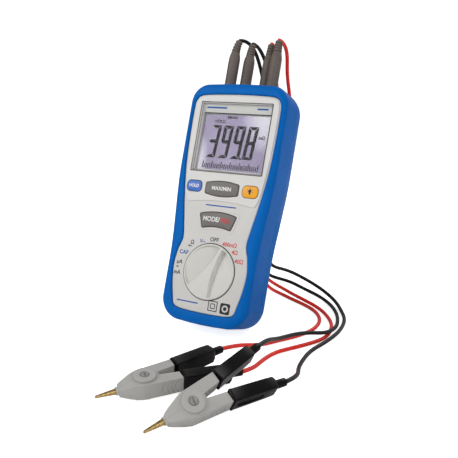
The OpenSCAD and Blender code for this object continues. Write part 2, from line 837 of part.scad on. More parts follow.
red_sense_way = [[23, 78, 252], [20, 88, 229], [20, 98, 200], [12, 112, 150], [-6, 122, 80],
    [-15, 119, 28], [-10, 114, 4.6], [25, 90, 2.2], [49, 77, 2.1], [64, 67, 2.1], [76, 52, 2.1],
    [81, 39, 2.1], [82, 24, 2.1], [80, 13, 2.1], [73, -3, 2.1], [62, -20, 2.1], [54, -36, 3],
    [46, -56, 9]];

// A lead from plug k, through its way points, to one handle of a clip
module lead(k, way, pos, turn, side) {
    path = concat([relief_end(k, 0.1), relief_end(k, 1.6), relief_end(k, 4.5)], way,
        [for (beyond = [2.4, 1, 0]) handle_exit(pos, turn, side, beyond)]);
    wire(curve(path, 4), lead_r, 8);
}

module black_current_lead() {
    color("black") lead(0, black_current_way, black_clip_pos, black_clip_turn, -1);
}

module black_sense_lead() {
    color("black") lead(1, black_sense_way, black_clip_pos, black_clip_turn, 1);
}

module red_current_lead() {
    color("red") lead(2, red_current_way, red_clip_pos, red_clip_turn, -1);
}

module red_sense_lead() {
    color("red") lead(3, red_sense_way, red_clip_pos, red_clip_turn, 1);
}

// ---------- Kelvin clips ----------

module red_place() {
    translate(red_clip_pos) rotate(red_clip_turn) children();
}

module black_place() {
    translate(black_clip_pos) rotate(black_clip_turn) children();
}

// The two arms of a clip are the same moulding, one turned over
module turned_over() {
    rotate([180, 0, 0]) children();
}

module handle_frame() {
    translate([0, arm_line_y, 0]) rotate(handle_angle) children();
}

module arm_outline() {
    inner_start = 9.5;
    function line_y(x) = arm_line_y + x * tan(handle_angle);
    polygon([[nose_x, jaw_gap], [nose_x, 3.4], [-17, 5.6], [-4, ear_r - 0.2], [0, ear_r + 0.3],
        [4, ear_r + 0.5], [arm_end_x, line_y(arm_end_x) + arm_half_w + 0.3],
        [arm_end_x, line_y(arm_end_x) - arm_half_w],
        [inner_start, line_y(inner_start) - arm_half_w], [0, jaw_gap]]);
}

module arm_side_outline() {
    t = arm_half_t;
    polygon([[nose_x - 1, -3], [nose_x - 1, 3], [nose_x, 3.6], [-9, t], [11, t], [60, t - 0.6],
        [60, 0.6 - t], [11, -t], [-9, -t], [nose_x, -3.6]]);
}

// Moving arm: its ear fills the lower half of the pivot's thickness
module clip_arm() {
    t = arm_half_t;
    layer_gap = 0.15;
    tang_u = [arm_end_x - 2, arm_end_x + 26];
    difference() {
        union() {
            intersection() {
                translate([0, 0, -t]) linear_extrude(2 * t) arm_outline();
                rotate([90, 0, 0]) translate([0, 0, -40]) linear_extrude(80) arm_side_outline();
            }
            translate([0, 0, -t]) cylinder(h = t - layer_gap, r = ear_r);
            intersection() {
                translate([nose_x - 2, 0, 0]) rotate([0, 90, 0]) cylinder(h = 4, r = 3.1);
                block([-40, jaw_gap, -10], [0, 10, 10]);
            }
            handle_frame() block([tang_u[0], -2, -3], [tang_u[1], 2, 3]);
        }
        translate([0, 0, -layer_gap]) cylinder(h = t + 2, r = ear_r + 0.3);
        translate([0, 0, -t - 1]) cylinder(h = 2 * t + 2, r = pivot_r + 0.05);
        translate([0, 0, -3.5]) cylinder(h = 7, r = 6.2);
        block([-30, jaw_gap - 1, -1.6], [-11.9, 1.7, 1.6]);
    }
}

// Gold half tip with its tail in the arm's slot
module clip_contact() {
    base_x = nose_x - 2.05;
    tip_len = tip_reach + base_x;
    intersection() {
        translate([base_x - tip_len, 0, 0]) rotate([0, 90, 0]) cylinder(h = tip_len, r1 = 0.6, r2 = 2.3);
        block([-60, jaw_gap, -5], [0, 5, 5]);
    }
    block([base_x - 0.1, jaw_gap, -1.5], [-12, 1.6, 1.5]);
}

// Soft boot over the handle, with a short sleeve for the lead
module clip_boot() {
    front_u = arm_end_x / cos(handle_angle) + 0.9;
    end_u = front_u + boot_len;
    handle_frame() difference() {
        union() {
            hull() {
                translate([front_u, 0, 0]) boot_section(5.3, 7, 1.4);
                translate([front_u + 3, 0, 0]) boot_section(5.2, 6.9, 1.4);
                translate([end_u - 2.4, 0, 0]) boot_section(4.8, 6.1, 1.4);
                translate([end_u - 0.6, 0, 0]) boot_section(3.7, 4.6, 1.4);
            }
            translate([end_u - 1, 0, 0]) rotate([0, 90, 0])
                cylinder(h = sleeve_end - end_u + 1, r = sleeve_r);
        }
        block([front_u - 1, -2.1, -3.1], [arm_end_x + 27, 2.1, 3.1]);
    }
}

module boot_section(half_w, half_h, r) {
    rotate([0, 90, 0]) linear_extrude(0.6) round_rect(2 * half_h, 2 * half_w, r, $fn = 24);
}

module clip_pivot_screw() {
    difference() {
        union() {
            translate([0, 0, -arm_half_t]) cylinder(h = 2 * arm_half_t + 0.4, r = pivot_r);
            translate([0, 0, arm_half_t + 0.3]) cylinder(h = 2, r = 3.4);
        }
        translate([0, 0, arm_half_t + 2.3]) cube([8, 0.8, 1.6], center = true);
    }
}

// Thick disc under the screw's head and a thin one at the other end
module clip_pivot_caps() {
    cap_r = 8.5;
    difference() {
        union() {
            translate([0, 0, arm_half_t + 0.1]) cylinder(h = 1.5, r = cap_r);
            translate([0, 0, arm_half_t + 1.6]) cylinder(h = 0.5, r1 = cap_r, r2 = cap_r - 0.7);
        }
        translate([0, 0, arm_half_t]) cylinder(h = 4, r = 3.5);
    }
    translate([0, 0, -arm_half_t - 0.9]) cylinder(h = 0.8, r = cap_r - 1);
}

module clip_spring() {
    translate([0, 0, -2.7]) coil(4.6, 0.5, 5.4, 4, 14, 6);
}

module red_clip_fixed_arm() {
    color("darkgray") red_place() turned_over() clip_arm();
}

module red_clip_moving_arm() {
    color("darkgray") red_place() clip_arm();
}

module red_clip_fixed_boot() {
    color("black") red_place() turned_over() clip_boot();
}

module red_clip_moving_boot() {
    color("black") red_place() clip_boot();
}

module red_clip_contacts_fixed() {
    color("gold") red_place() turned_over() clip_contact();
}

module red_clip_contacts_moving() {
    color("gold") red_place() clip_contact();
}

module red_clip_pivot_screw() {
    color("gray") red_place() clip_pivot_screw();
}

module red_clip_pivot_caps() {
    color("darkgray") red_place() clip_pivot_caps();
}

module red_clip_spring() {
    color("silver") red_place() clip_spring();
}

module black_clip_fixed_arm() {
    color("darkgray") black_place() turned_over() clip_arm();
}

module black_clip_moving_arm() {
    color("darkgray") black_place() clip_arm();
}

module black_clip_fixed_boot() {
    color("black") black_place() turned_over() clip_boot();
}

module black_clip_moving_boot() {
    color("black") black_place() clip_boot();
}

module black_clip_contacts_fixed() {
    color("gold") black_place() turned_over() clip_contact();
}

module black_clip_contacts_moving() {
    color("gold") black_place() clip_contact();
}

module black_clip_pivot_screw() {
    color("gray") black_place() clip_pivot_screw();
}

module black_clip_pivot_caps() {
    color("darkgray") black_place() clip_pivot_caps();
}

module black_clip_spring() {
    color("silver") black_place() clip_spring();
}

on_floor() holster();
on_floor() front_case();
on_floor() rear_case();
on_floor() face_plate();
on_floor() display_bezel();
on_floor() display_window();
on_floor() lcd_panel();
on_floor() lcd_holder();
on_floor() lcd_backlight();
on_floor() lcd_zebra_strips();
on_floor() main_board();
on_floor() board_components();
on_floor() keypad_mat();
on_floor() hold_button();
on_floor() max_min_button();
on_floor() backlight_button();
on_floor() mode_button();
on_floor() selector_knob();
on_floor() selector_rotor();
on_floor() wiper_contacts();
on_floor() knob_retaining_ring();
on_floor() detent_carrier();
on_floor() detent_balls();
on_floor() detent_springs();
on_floor() socket_block();
on_floor() socket_sleeves();
on_floor() fuses();
on_floor() fuse_clips();
on_floor() buzzer();
on_floor() battery();
on_floor() battery_snap();
on_floor() battery_door();
on_floor() battery_door_screw();
on_floor() case_screws();
on_floor() tilt_stand();
on_floor() plug_bodies();
on_floor() plug_pins();
on_floor() plug_strain_reliefs();
on_floor() black_current_lead();
on_floor() black_sense_lead();
on_floor() red_current_lead();
on_floor() red_sense_lead();
on_floor() red_clip_fixed_arm();
on_floor() red_clip_moving_arm();
on_floor() red_clip_fixed_boot();
on_floor() red_clip_moving_boot();
on_floor() red_clip_contacts_fixed();
on_floor() red_clip_contacts_moving();
on_floor() red_clip_pivot_screw();
on_floor() red_clip_pivot_caps();
on_floor() red_clip_spring();
on_floor() black_clip_fixed_arm();
on_floor() black_clip_moving_arm();
on_floor() black_clip_fixed_boot();
on_floor() black_clip_moving_boot();
on_floor() black_clip_contacts_fixed();
on_floor() black_clip_contacts_moving();
on_floor() black_clip_pivot_screw();
on_floor() black_clip_pivot_caps();
on_floor() black_clip_spring();
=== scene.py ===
"""Looks of a hand-held four-wire milliohm meter with two Kelvin clips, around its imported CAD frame."""
import json
import math

import bmesh
import bpy
from mathutils import Euler, Matrix, Vector


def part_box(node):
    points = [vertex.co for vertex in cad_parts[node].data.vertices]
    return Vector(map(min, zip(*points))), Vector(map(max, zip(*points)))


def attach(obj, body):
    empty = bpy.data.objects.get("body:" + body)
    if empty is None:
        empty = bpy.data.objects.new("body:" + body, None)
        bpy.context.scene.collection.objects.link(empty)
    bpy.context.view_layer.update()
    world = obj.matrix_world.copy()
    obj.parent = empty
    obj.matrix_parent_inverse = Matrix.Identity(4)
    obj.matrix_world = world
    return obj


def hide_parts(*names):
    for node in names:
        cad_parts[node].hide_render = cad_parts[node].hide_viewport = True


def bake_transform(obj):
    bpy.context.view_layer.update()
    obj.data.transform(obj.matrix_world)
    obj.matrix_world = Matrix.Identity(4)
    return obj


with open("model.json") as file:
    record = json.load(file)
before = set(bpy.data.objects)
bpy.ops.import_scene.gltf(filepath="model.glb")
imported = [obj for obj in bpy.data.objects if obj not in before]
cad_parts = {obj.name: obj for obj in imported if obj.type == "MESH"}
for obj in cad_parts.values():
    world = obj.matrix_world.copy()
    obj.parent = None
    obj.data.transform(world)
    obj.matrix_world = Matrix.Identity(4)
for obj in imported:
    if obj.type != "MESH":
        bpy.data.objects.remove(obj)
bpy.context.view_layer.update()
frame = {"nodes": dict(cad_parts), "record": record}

MM = 0.001
JOINTS = {j["name"]: j for j in frame["record"]["behaviour"]["joints"]}

# The meter's own frame in millimetres: x across, y up the face, z out of the face, 0 at the back
KNOB_Y = 47.7
FACE_Z = 51.0
face_out = Vector(JOINTS["selector_turn"]["axis"])
face_right = Vector((1, 0, 0))
face_up = face_out.cross(face_right)
meter_origin = Vector(JOINTS["selector_turn"]["pos_m"]) - (face_up * KNOB_Y + face_out * FACE_Z) * MM
TO_MM = Matrix.Scale(MM, 4)
METER = (Matrix.Translation(meter_origin)
         @ Matrix((face_right, face_up, face_out)).transposed().to_4x4() @ TO_MM)


def clip_frame(colour):
    """A clip's own frame in millimetres: +x towards the handles, z along the pivot."""
    rotation = Euler([math.radians(a) for a in CLIP_TURNS[colour]], "XYZ").to_matrix().to_4x4()
    return Matrix.Translation(JOINTS[colour + "_clip_squeeze"]["pos_m"]) @ rotation @ TO_MM

# ---------- materials ----------

BLACK = (0, 0, 0)
WHITE = (1, 1, 1)


class Shader:
    """A new material, with short calls that add nodes to it."""

    def __init__(self, name):
        self.material = bpy.data.materials.new(name)
        self.material.use_nodes = True
        self.nodes = self.material.node_tree.nodes
        self.links = self.material.node_tree.links
        self.bsdf = self.nodes["Principled BSDF"]

    def feed(self, node, values):
        """Links each output to the named input, or sets the input to the value."""
        for key, value in values.items():
            if isinstance(value, bpy.types.NodeSocket):
                self.links.new(value, node.inputs[key])
            else:
                node.inputs[key].default_value = value

    def add(self, kind, values=None, **settings):
        node = self.nodes.new("ShaderNode" + kind)
        for key, value in settings.items():
            setattr(node, key, value)
        self.feed(node, values or {})
        return node

    def coords(self, unit=1.0, stretch=(1, 1, 1)):
        place = self.add("TexCoord").outputs["Object"]
        values = {"Vector": place, "Scale": [unit * s for s in stretch]}
        return self.add("Mapping", values).outputs["Vector"]

    def noise(self, vector, scale, detail=3, rough=0.55):
        values = {"Vector": vector, "Scale": scale, "Detail": detail, "Roughness": rough}
        return self.add("TexNoise", values).outputs["Fac"]

    def maths(self, operation, a, b):
        return self.add("Math", {0: a, 1: b}, operation=operation).outputs[0]

    def mix(self, factor, a, b):
        return self.add("Mix", {"Factor": factor, "A": a, "B": b}, data_type="RGBA").outputs["Result"]

    def spread(self, value, low, high):
        return self.add("MapRange", {"Value": value, "To Min": low, "To Max": high}).outputs["Result"]

    def ramp(self, value, *stops):
        """Colour ramp between two (place, colour) stops."""
        node = self.add("ValToRGB", {"Fac": value})
        for element, (place, colour) in zip(node.color_ramp.elements, stops):
            element.position = place
            element.color = (*colour, 1)
        return node.outputs["Color"]

    def relief(self, height, strength, depth):
        """Bumps of the given depth in millimetres."""
        bump = self.add("Bump", {"Strength": strength, "Distance": depth * MM, "Height": height})
        self.feed(self.bsdf, {"Normal": bump.outputs["Normal"]})


def srgb(r, g, b):
    def lin(c):
        c /= 255
        return c / 12.92 if c <= 0.04045 else ((c + 0.055) / 1.055) ** 2.4
    return (lin(r), lin(g), lin(b))


def scaled(colour, k):
    return tuple(min(1.0, c * k) for c in colour)


def moulded(name, colour, rough=0.45, grain=1.6, bump=0.035, vary=0.05, edge_highlight=0.0, unit=1.0,
            coat=0.0, stretch=(1, 1, 1), shine=0.4):
    """Moulded plastic or rubber: fine surface grain, uneven gloss, faint colour change, and a painted
    highlight that makes sharp edges paler.
    """
    s = Shader(name)
    v = s.coords(unit, stretch)
    base = s.ramp(s.noise(v, 0.045, 2), (0.3, scaled(colour, 1 - vary)), (0.7, scaled(colour, 1 + vary)))
    # Painted highlight: sharp edges (pointiness) are mixed towards a paler colour
    edge = s.ramp(s.add("NewGeometry").outputs["Pointiness"], (0.5, BLACK), (0.62, WHITE))
    highlit = s.mix(s.maths("MULTIPLY", edge, edge_highlight), base, (*scaled(colour, 1.35), 1))
    gloss = s.spread(s.noise(v, 0.35, 4), rough - 0.06, rough + 0.08)
    s.relief(s.noise(v, grain, 5, 0.6), 0.5, bump)
    s.feed(s.bsdf, {"Base Color": highlit, "Roughness": gloss, "Specular IOR Level": shine,
                    "Coat Weight": coat, "Coat Roughness": 0.25})
    return s.material


def metal(name, colour, rough=0.3, unit=1.0, grain=3.0, bump=0.02, dirt=0.25):
    """Bare or plated metal: fine tool marks, uneven gloss and darker tarnish."""
    s = Shader(name)
    v = s.coords(unit)
    blotch = s.noise(v, 0.5, 4)
    tint = s.ramp(blotch, (0.3, scaled(colour, 1 - dirt)), (0.6, colour))
    s.relief(s.noise(v, grain, 4, 0.65), 0.6, bump)
    s.feed(s.bsdf, {"Base Color": tint, "Metallic": 1.0,
                    "Roughness": s.spread(blotch, rough - 0.08, rough + 0.1)})
    return s.material


def ink(name, colour):
    """Printed ink: a thin matt film, slightly uneven."""
    return moulded(name, colour, rough=0.5, grain=4, bump=0.01, vary=0.1)


BLUE = srgb(0, 101, 188)
mat_holster = moulded("holster_blue", BLUE, rough=0.47, grain=2.2, bump=0.045, vary=0.05, edge_highlight=0.12,
                      shine=0.25)
mat_holster.node_tree.nodes["Principled BSDF"].inputs["Specular Tint"].default_value = (0.25, 0.6, 1, 1)
mat_panel = moulded("panel_grey", srgb(214, 212, 208), rough=0.42, grain=2.6, bump=0.03, vary=0.015)
mat_plate = moulded("plate_grey", srgb(220, 218, 215), rough=0.36, grain=3.2, bump=0.02, vary=0.012)
mat_knob = moulded("knob_grey", srgb(221, 220, 214), rough=0.38, grain=2.4, bump=0.03, vary=0.012)
mat_dark = moulded("dark_case", srgb(58, 58, 61), rough=0.5, grain=1.8, bump=0.05, unit=1000, edge_highlight=0.1)
mat_gap = moulded("shadow_gap", srgb(34, 34, 36), rough=0.7, grain=2, bump=0.02)
mat_key_blue = moulded("key_blue", srgb(62, 110, 196), rough=0.36, grain=2.4, bump=0.03, vary=0.05)
mat_key_grey = moulded("key_grey", srgb(112, 108, 105), rough=0.42, grain=2.4, bump=0.03, vary=0.04)
mat_key_orange = moulded("key_orange", srgb(250, 172, 12), rough=0.36, grain=2.4, bump=0.03, vary=0.04)
# Dark grey of the rings in the key gaps: painted shade
mat_gap_shade = moulded("key_gap_shade", srgb(70, 66, 62), rough=0.5, grain=2.4, bump=0.02)
mat_plug = moulded("plug_brown", srgb(106, 95, 89), rough=0.5, grain=1.2, bump=0.09, vary=0.1)
mat_clip = moulded("clip_grey", srgb(182, 180, 177), rough=0.42, grain=1.8, bump=0.035, vary=0.03,
                   edge_highlight=0.15)
mat_boot = moulded("boot_black", srgb(10, 7, 9), rough=0.3, grain=1.6, bump=0.04, vary=0.12,
                   edge_highlight=0.5, shine=0.16)
mat_lead_black = moulded("lead_black", srgb(26, 25, 28), rough=0.38, grain=0.9, bump=0.04, vary=0.1,
                         unit=1000, shine=0.3)
mat_lead_red = moulded("lead_red", srgb(244, 46, 32), rough=0.36, grain=0.9, bump=0.04, vary=0.08,
                       unit=1000, coat=0.1)
mat_gold = metal("gold_plate", srgb(206, 174, 116), rough=0.26, grain=1.1, bump=0.3, dirt=0.6)
mat_collar = moulded("collar_grey", srgb(186, 185, 183), rough=0.38, grain=1.8, bump=0.03, vary=0.03)
mat_screw = moulded("screw_grey", srgb(150, 149, 147), rough=0.35, grain=2.0, bump=0.03, vary=0.05)
mat_stand = moulded("stand_dark", srgb(58, 58, 61), rough=0.5, grain=1.8, bump=0.05, edge_highlight=0.1)
mat_steel_cad = metal("steel_cad", srgb(200, 200, 198), rough=0.3, unit=1000)
mat_brass_cad = metal("brass_cad", srgb(225, 180, 105), rough=0.28, unit=1000)
mat_board = moulded("board_green", srgb(22, 92, 52), rough=0.35, grain=0.8, bump=0.03, unit=1000)
mat_inner_black = moulded("inner_black", srgb(26, 26, 28), rough=0.5, unit=1000)
mat_inner_white = moulded("inner_white", srgb(222, 222, 216), rough=0.4, unit=1000)
mat_inner_rubber = moulded("inner_rubber", srgb(72, 72, 74), rough=0.6, unit=1000)
mat_battery = moulded("battery_can", srgb(70, 74, 82), rough=0.3, unit=1000, stretch=(1, 0.1, 1))
mat_fuse = moulded("fuse_body", srgb(226, 222, 206), rough=0.25, unit=1000)
mat_ink_white = ink("ink_white", srgb(240, 240, 238))
mat_ink_red = ink("ink_red", srgb(214, 52, 50))
mat_ink_blue = ink("ink_blue", srgb(22, 82, 166))
mat_ink_black = ink("ink_black", srgb(34, 32, 34))
mat_segment = ink("lcd_segment", srgb(14, 11, 20))


def lcd_material():
    """Polarised display glass: violet film, whitened towards the upper right and lower left by painted
    reflections, and with a faint painted glow.
    """
    s = Shader("lcd_film")
    v = s.coords()
    place = s.add("SeparateXYZ", {0: v}).outputs

    def ellipse(x, y, half_w, half_h):
        """0 in the middle of an ellipse, 1 on its edge."""
        squares = []
        for axis, middle, size in (("X", x, half_w), ("Y", y, half_h)):
            offset = s.maths("DIVIDE", s.maths("SUBTRACT", place[axis], middle), size)
            squares.append(s.maths("MULTIPLY", offset, offset))
        return s.maths("ADD", *squares)
    film = s.ramp(s.noise(v, 0.05, 2), (0.3, srgb(128, 116, 151)), (0.7, srgb(144, 132, 168)))
    # Painted reflections: two soft patches where the film is mixed towards white
    for painted_glare, end in ((ellipse(42, 196, 42, 46), 0.8), (ellipse(-40, 141, 17, 38), 1.0)):
        film = s.mix(s.ramp(painted_glare, (0.0, WHITE), (end, BLACK)), film, (*srgb(224, 223, 232), 1))
    # Faint emission of the film: a painted glow
    s.feed(s.bsdf, {"Base Color": film, "Emission Color": film, "Emission Strength": 0.12,
                    "Roughness": 0.3})
    return s.material


def window_material():
    """Thin clear window: see-through with a faint mirror sheen."""
    s = Shader("window_clear")
    gloss = s.add("BsdfGlossy", {"Roughness": s.spread(s.noise(s.coords(), 0.2, 3), 0.02, 0.06)})
    clear = s.add("BsdfTransparent")
    facing = s.add("Fresnel", {"IOR": 1.09})
    both = s.add("MixShader", {"Fac": facing.outputs[0], 1: clear.outputs[0], 2: gloss.outputs[0]})
    s.feed(s.nodes["Material Output"], {"Surface": both.outputs[0]})
    s.nodes.remove(s.bsdf)
    return s.material


mat_lcd = lcd_material()
mat_window = window_material()
mat_bezel = moulded("bezel_silver", srgb(214, 213, 210), rough=0.3, grain=2.0, bump=0.03, vary=0.03)
# Brushed light grey strip over the display
mat_strip = moulded("title_strip", srgb(194, 196, 192), rough=0.34, grain=1.2, bump=0.03, vary=0.05,
                    stretch=(0.15, 3, 1))

# ---------- mesh helpers ----------


def placed(name, mesh, place, mat=None):
    """Object that shows a mesh at a place, with one material."""
    mesh.name = name
    if mat:
        mesh.materials.clear()
        mesh.materials.append(mat)
    obj = bpy.data.objects.new(name, mesh)
    obj.matrix_world = place
    bpy.context.collection.objects.link(obj)
    return obj


def finish(obj, body, replaced=(), sharp=38, weighted=False, bevel=None):
    """Shades a piece, fixes it to its body and hides the CAD nodes that it stands for."""
    obj.data.polygons.foreach_set("use_smooth", [True] * len(obj.data.polygons))
    obj.data.set_sharp_from_angle(angle=math.radians(sharp))
    if bevel:
        mod = obj.modifiers.new("soft_edges", "BEVEL")
        mod.width = bevel
        mod.segments = 3
        mod.limit_method = "ANGLE"
        mod.angle_limit = math.radians(32)
        mod.harden_normals = False
    if weighted:
        mod = obj.modifiers.new("even_shading", "WEIGHTED_NORMAL")
        mod.keep_sharp = True
    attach(obj, body)
    if replaced:
        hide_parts(*replaced)
    return obj


def cleaned(mesh, merge, outwards=True):
    """The mesh with near vertices merged and, if asked, its faces turned outwards."""
    bm = bmesh.new()
    bm.from_mesh(mesh)
    bmesh.ops.remove_doubles(bm, verts=bm.verts, dist=merge)
    if outwards:
        bmesh.ops.recalc_face_normals(bm, faces=bm.faces)
    bm.to_mesh(mesh)
    bm.free()
    return mesh


def worked_out(obj):
    """Mesh of a curve, or of a mesh object with its modifiers applied."""
    bpy.context.view_layer.update()
    return bpy.data.meshes.new_from_object(obj.evaluated_get(bpy.context.evaluated_depsgraph_get()))


def curve_mesh(curve):
    obj = bpy.data.objects.new(curve.name, curve)
    bpy.context.collection.objects.link(obj)
    mesh = worked_out(obj)
    bpy.data.objects.remove(obj)
    return mesh


def combine(obj, others, operation="DIFFERENCE"):
    """Cuts the other solids out of obj, or adds them to it with UNION, and removes them."""
    for other in others:
        mod = obj.modifiers.new("combine", "BOOLEAN")
        mod.operation = operation
        mod.solver = "EXACT"
        mod.object = other
    mesh = worked_out(obj)
    obj.modifiers.clear()
    obj.data = mesh
    for other in others:
        bpy.data.objects.remove(other)
    return obj


def joined(name, objs):
    """One piece from several objects on the same body."""
    bpy.ops.object.select_all(action="DESELECT")
    for o in objs:
        o.select_set(True)
    bpy.context.view_layer.objects.active = objs[0]
    bpy.ops.object.join()
    objs[0].name = name
    return objs[0]


def from_lists(name, verts, faces, place, mat):
    mesh = bpy.data.meshes.new(name)
    mesh.from_pydata([tuple(v) for v in verts], [], faces)
    return placed(name, cleaned(mesh, 1e-5), place, mat)


def rings_mesh(name, rings, place, mat, close_ends=True, looped=False):
    """Surface through closed rings of equal point counts; looped joins the last ring to the first."""
    n = len(rings[0])
    count = len(rings)
    faces = []
    for k in range(count if looped else count - 1):
        a, b = k * n, (k + 1) % count * n
        faces += [(a + i, a + (i + 1) % n, b + (i + 1) % n, b + i) for i in range(n)]
    if close_ends and not looped:
        faces += [tuple(range(n)), tuple(range((count - 1) * n, count * n))]
    return from_lists(name, [p for ring in rings for p in ring], faces, place, mat)


def prisms(name, outlines, z0, z1, mat, body="meter"):
    """One piece of flat solids between z0 and z1, each from an outline of (x, y) points."""
    verts, faces = [], []
    for pts in outlines:
        base, n = len(verts), len(pts)
        verts += [Vector((x, y, z)) for z in (z0, z1) for x, y in pts]
        faces += [tuple(base + n + i for i in range(n)), tuple(base + i for i in reversed(range(n)))]
        faces += [(base + i, base + (i + 1) % n, base + n + (i + 1) % n, base + n + i) for i in range(n)]
    return finish(from_lists(name, verts, faces, METER, mat), body)


def rectangle(x0, y0, x1, y1):
    return [(x0, y0), (x1, y0), (x1, y1), (x0, y1)]

# ---------- curves, outlines and solids ----------


def spokes(count):
    """Unit vectors all round a circle."""
    return [Vector((math.cos(2 * math.pi * k / count), math.sin(2 * math.pi * k / count)))
            for k in range(count)]


def direction(degrees):
    return math.cos(math.radians(degrees)), math.sin(math.radians(degrees))


def at_height(points, z):
    return [Vector((*p, z)) for p in points]


def arc_points(cx, cy, r, a0, a1, n):
    turns = [direction(a0 + (a1 - a0) * i / n) for i in range(n + 1)]
    return [Vector((cx + r * c, cy + r * s)) for c, s in turns]


def circle(r, n=64, x=0, y=0):
    return [Vector((x, y)) + p * r for p in spokes(n)]


def round_rect(w, h, r, n=8):
    out = []
    for sx, sy, a0 in ((1, -1, -90), (1, 1, 0), (-1, 1, 90), (-1, -1, 180)):
        out += arc_points(sx * (w / 2 - r), sy * (h / 2 - r), r, a0, a0 + 90, n)
    return out


def shifted(points, x, y):
    return [Vector((p.x + x, p.y + y)) for p in points]


def mirrored(half):
    return half + [Vector((-p.x, p.y)) for p in half[-2:0:-1]]


def rounded_corners(points, corners, r):
    """Replaces each listed corner of a closed outline by a small arc."""
    n = len(points)
    out = []
    for i, p in enumerate(points):
        if i not in corners:
            beside = any((i + s) % n in corners and (points[(i + s) % n] - p).length < r for s in (-1, 1))
            if not beside:
                out.append(p)
            continue
        a = p + (points[i - 1] - p).normalized() * r
        b = p + (points[(i + 1) % n] - p).normalized() * r
        for k in range(7):
            t = k / 6
            out.append(a * (1 - t) ** 2 + p * 2 * t * (1 - t) + b * t * t)
    return out


def ease(a, b, t):
    u = min(max((t - a) / (b - a), 0), 1)
    return u * u * (3 - 2 * u)


def catmull(points, steps):
    """Smooth open curve through the points."""
    pts = [Vector(p) for p in points]
    last = len(pts) - 1
    out = []
    for i in range(last):
        a, b, c, d = pts[max(i - 1, 0)], pts[i], pts[i + 1], pts[min(i + 2, last)]
        for k in range(steps):
            t = k / steps
            out.append(0.5 * (2 * b + (c - a) * t + (2 * a - 5 * b + 4 * c - d) * t * t
                              + (3 * b - a - 3 * c + d) * t ** 3))
    return out + [pts[-1]]


def resample(points, count, closed=True):
    """Points at equal distances along an outline or a path."""
    pts = [Vector(p) for p in points]
    if closed:
        pts.append(pts[0])
    run = [0.0]
    for a, b in zip(pts, pts[1:]):
        run.append(run[-1] + (b - a).length)
    out = []
    k = 0
    wanted = count if closed else count - 1
    for i in range(wanted):
        s = run[-1] * i / wanted
        while run[k + 1] < s:
            k += 1
        out.append(pts[k].lerp(pts[k + 1], (s - run[k]) / max(run[k + 1] - run[k], 1e-9)))
    return out if closed else out + [pts[-1]]


def inset(points, d):
    """Closed outline, counter-clockwise, moved inwards by d along its normals."""
    n = len(points)
    out = []
    for i in range(n):
        t = (points[(i + 1) % n] - points[i - 1]).normalized()
        out.append(points[i] + Vector((-t.y, t.x)) * d)
    return out


def plate_mesh(name, loops, z0, z1, bevel, segments=3):
    """Flat plate between z0 and z1 with rounded edges; the loops after the first are holes."""
    curve = bpy.data.curves.new(name, "CURVE")
    curve.dimensions = "2D"
    curve.fill_mode = "BOTH"
    curve.extrude = (z1 - z0) / 2 - bevel
    curve.bevel_depth = bevel
    curve.bevel_resolution = segments
    curve.offset = -bevel
    for loop in loops:
        spline = curve.splines.new("POLY")
        spline.points.add(len(loop) - 1)
        for point, p in zip(spline.points, loop):
            point.co = (p[0], p[1], 0, 1)
        spline.use_cyclic_u = True
    mesh = curve_mesh(curve)
    mesh.transform(Matrix.Translation((0, 0, (z0 + z1) / 2)))
    return cleaned(mesh, 2e-4)


def plate(name, loops, z0, z1, bevel, mat, replaced=(), segments=3, body="meter"):
    """A flat piece of the meter."""
    mesh = plate_mesh(name, loops, z0, z1, bevel, segments)
    return finish(placed(name, mesh, METER, mat), body, replaced, weighted=True)


def lettering(name, words, size, x, y, z, mat, body="meter", depth=0.04,
              wide=1.0, bold=0.0):
    """Words as thin raised letters on the meter."""
    curve = bpy.data.curves.new(name, "FONT")
    curve.body = words
    curve.size = size
    curve.offset = bold
    curve.align_x = "CENTER"
    curve.align_y = "CENTER"
    curve.extrude = depth
    curve.resolution_u = 4
    mesh = curve_mesh(curve)
    mesh.transform(Matrix.Translation((x, y, z)) @ Matrix.Diagonal((wide, 1, 1, 1)))
    return finish(placed(name, cleaned(mesh, 1e-4, outwards=False), METER, mat), body)


def tube(name, path, radius, place, mat, sides=20):
    """Round tube along path; radius is a number or a function of the fraction along the path."""
    pts = [Vector(p) for p in path]
    last = len(pts) - 1
    normal = None
    rings = []
    for i, p in enumerate(pts):
        t = (pts[min(i + 1, last)] - pts[max(i - 1, 0)]).normalized()
        if normal is None:
            normal = Vector((1, 0, 0)) if abs(t.x) < 0.8 else Vector((0, 1, 0))
        normal = (normal - normal.dot(t) * t).normalized()
        across = t.cross(normal)
        r = radius(i / last) if callable(radius) else radius
        rings.append([p + (normal * s.x + across * s.y) * r for s in spokes(sides)])
    return rings_mesh(name, rings, place, mat)


def lathe(name, profile, place, mat, sides=48, centre=(0, 0), axis="Z"):
    """Solid of revolution from (radius, height) pairs, about Z or Y at the given centre."""
    rings = []
    for r, h in profile:
        around = circle(r, sides, *centre)
        rings.append([Vector((p.x, p.y, h) if axis == "Z" else (p.x, h, p.y)) for p in around])
    return rings_mesh(name, rings, place, mat)


def disc(name, r, z0, z1, edge, place):
    """Round plate of a clip, with rounded rims."""
    arc = [direction(a) for a in (0, 22, 45, 68, 90)]
    low = [(r - edge + edge * c, z0 + edge - edge * s) for c, s in arc[::-1]]
    high = [(r - edge + edge * c, z1 - edge + edge * s) for c, s in arc]
    return lathe(name, low + high, place, mat_clip, sides=72)

# ---------- outlines of the meter ----------

BODY_LEN = 220.0
BODY_W = 97.0
GRIP_W = 87.0
END_ARCH = 0.9
PANEL_Z = 50.2
# Sockets in the top end: x and z
SOCKETS = ((-21.5, 30), (-10.2, 21), (10.2, 21), (21.5, 30))


def side_x(y):
    return GRIP_W / 2 + (BODY_W - GRIP_W) / 2 * ease(55, 145, y)


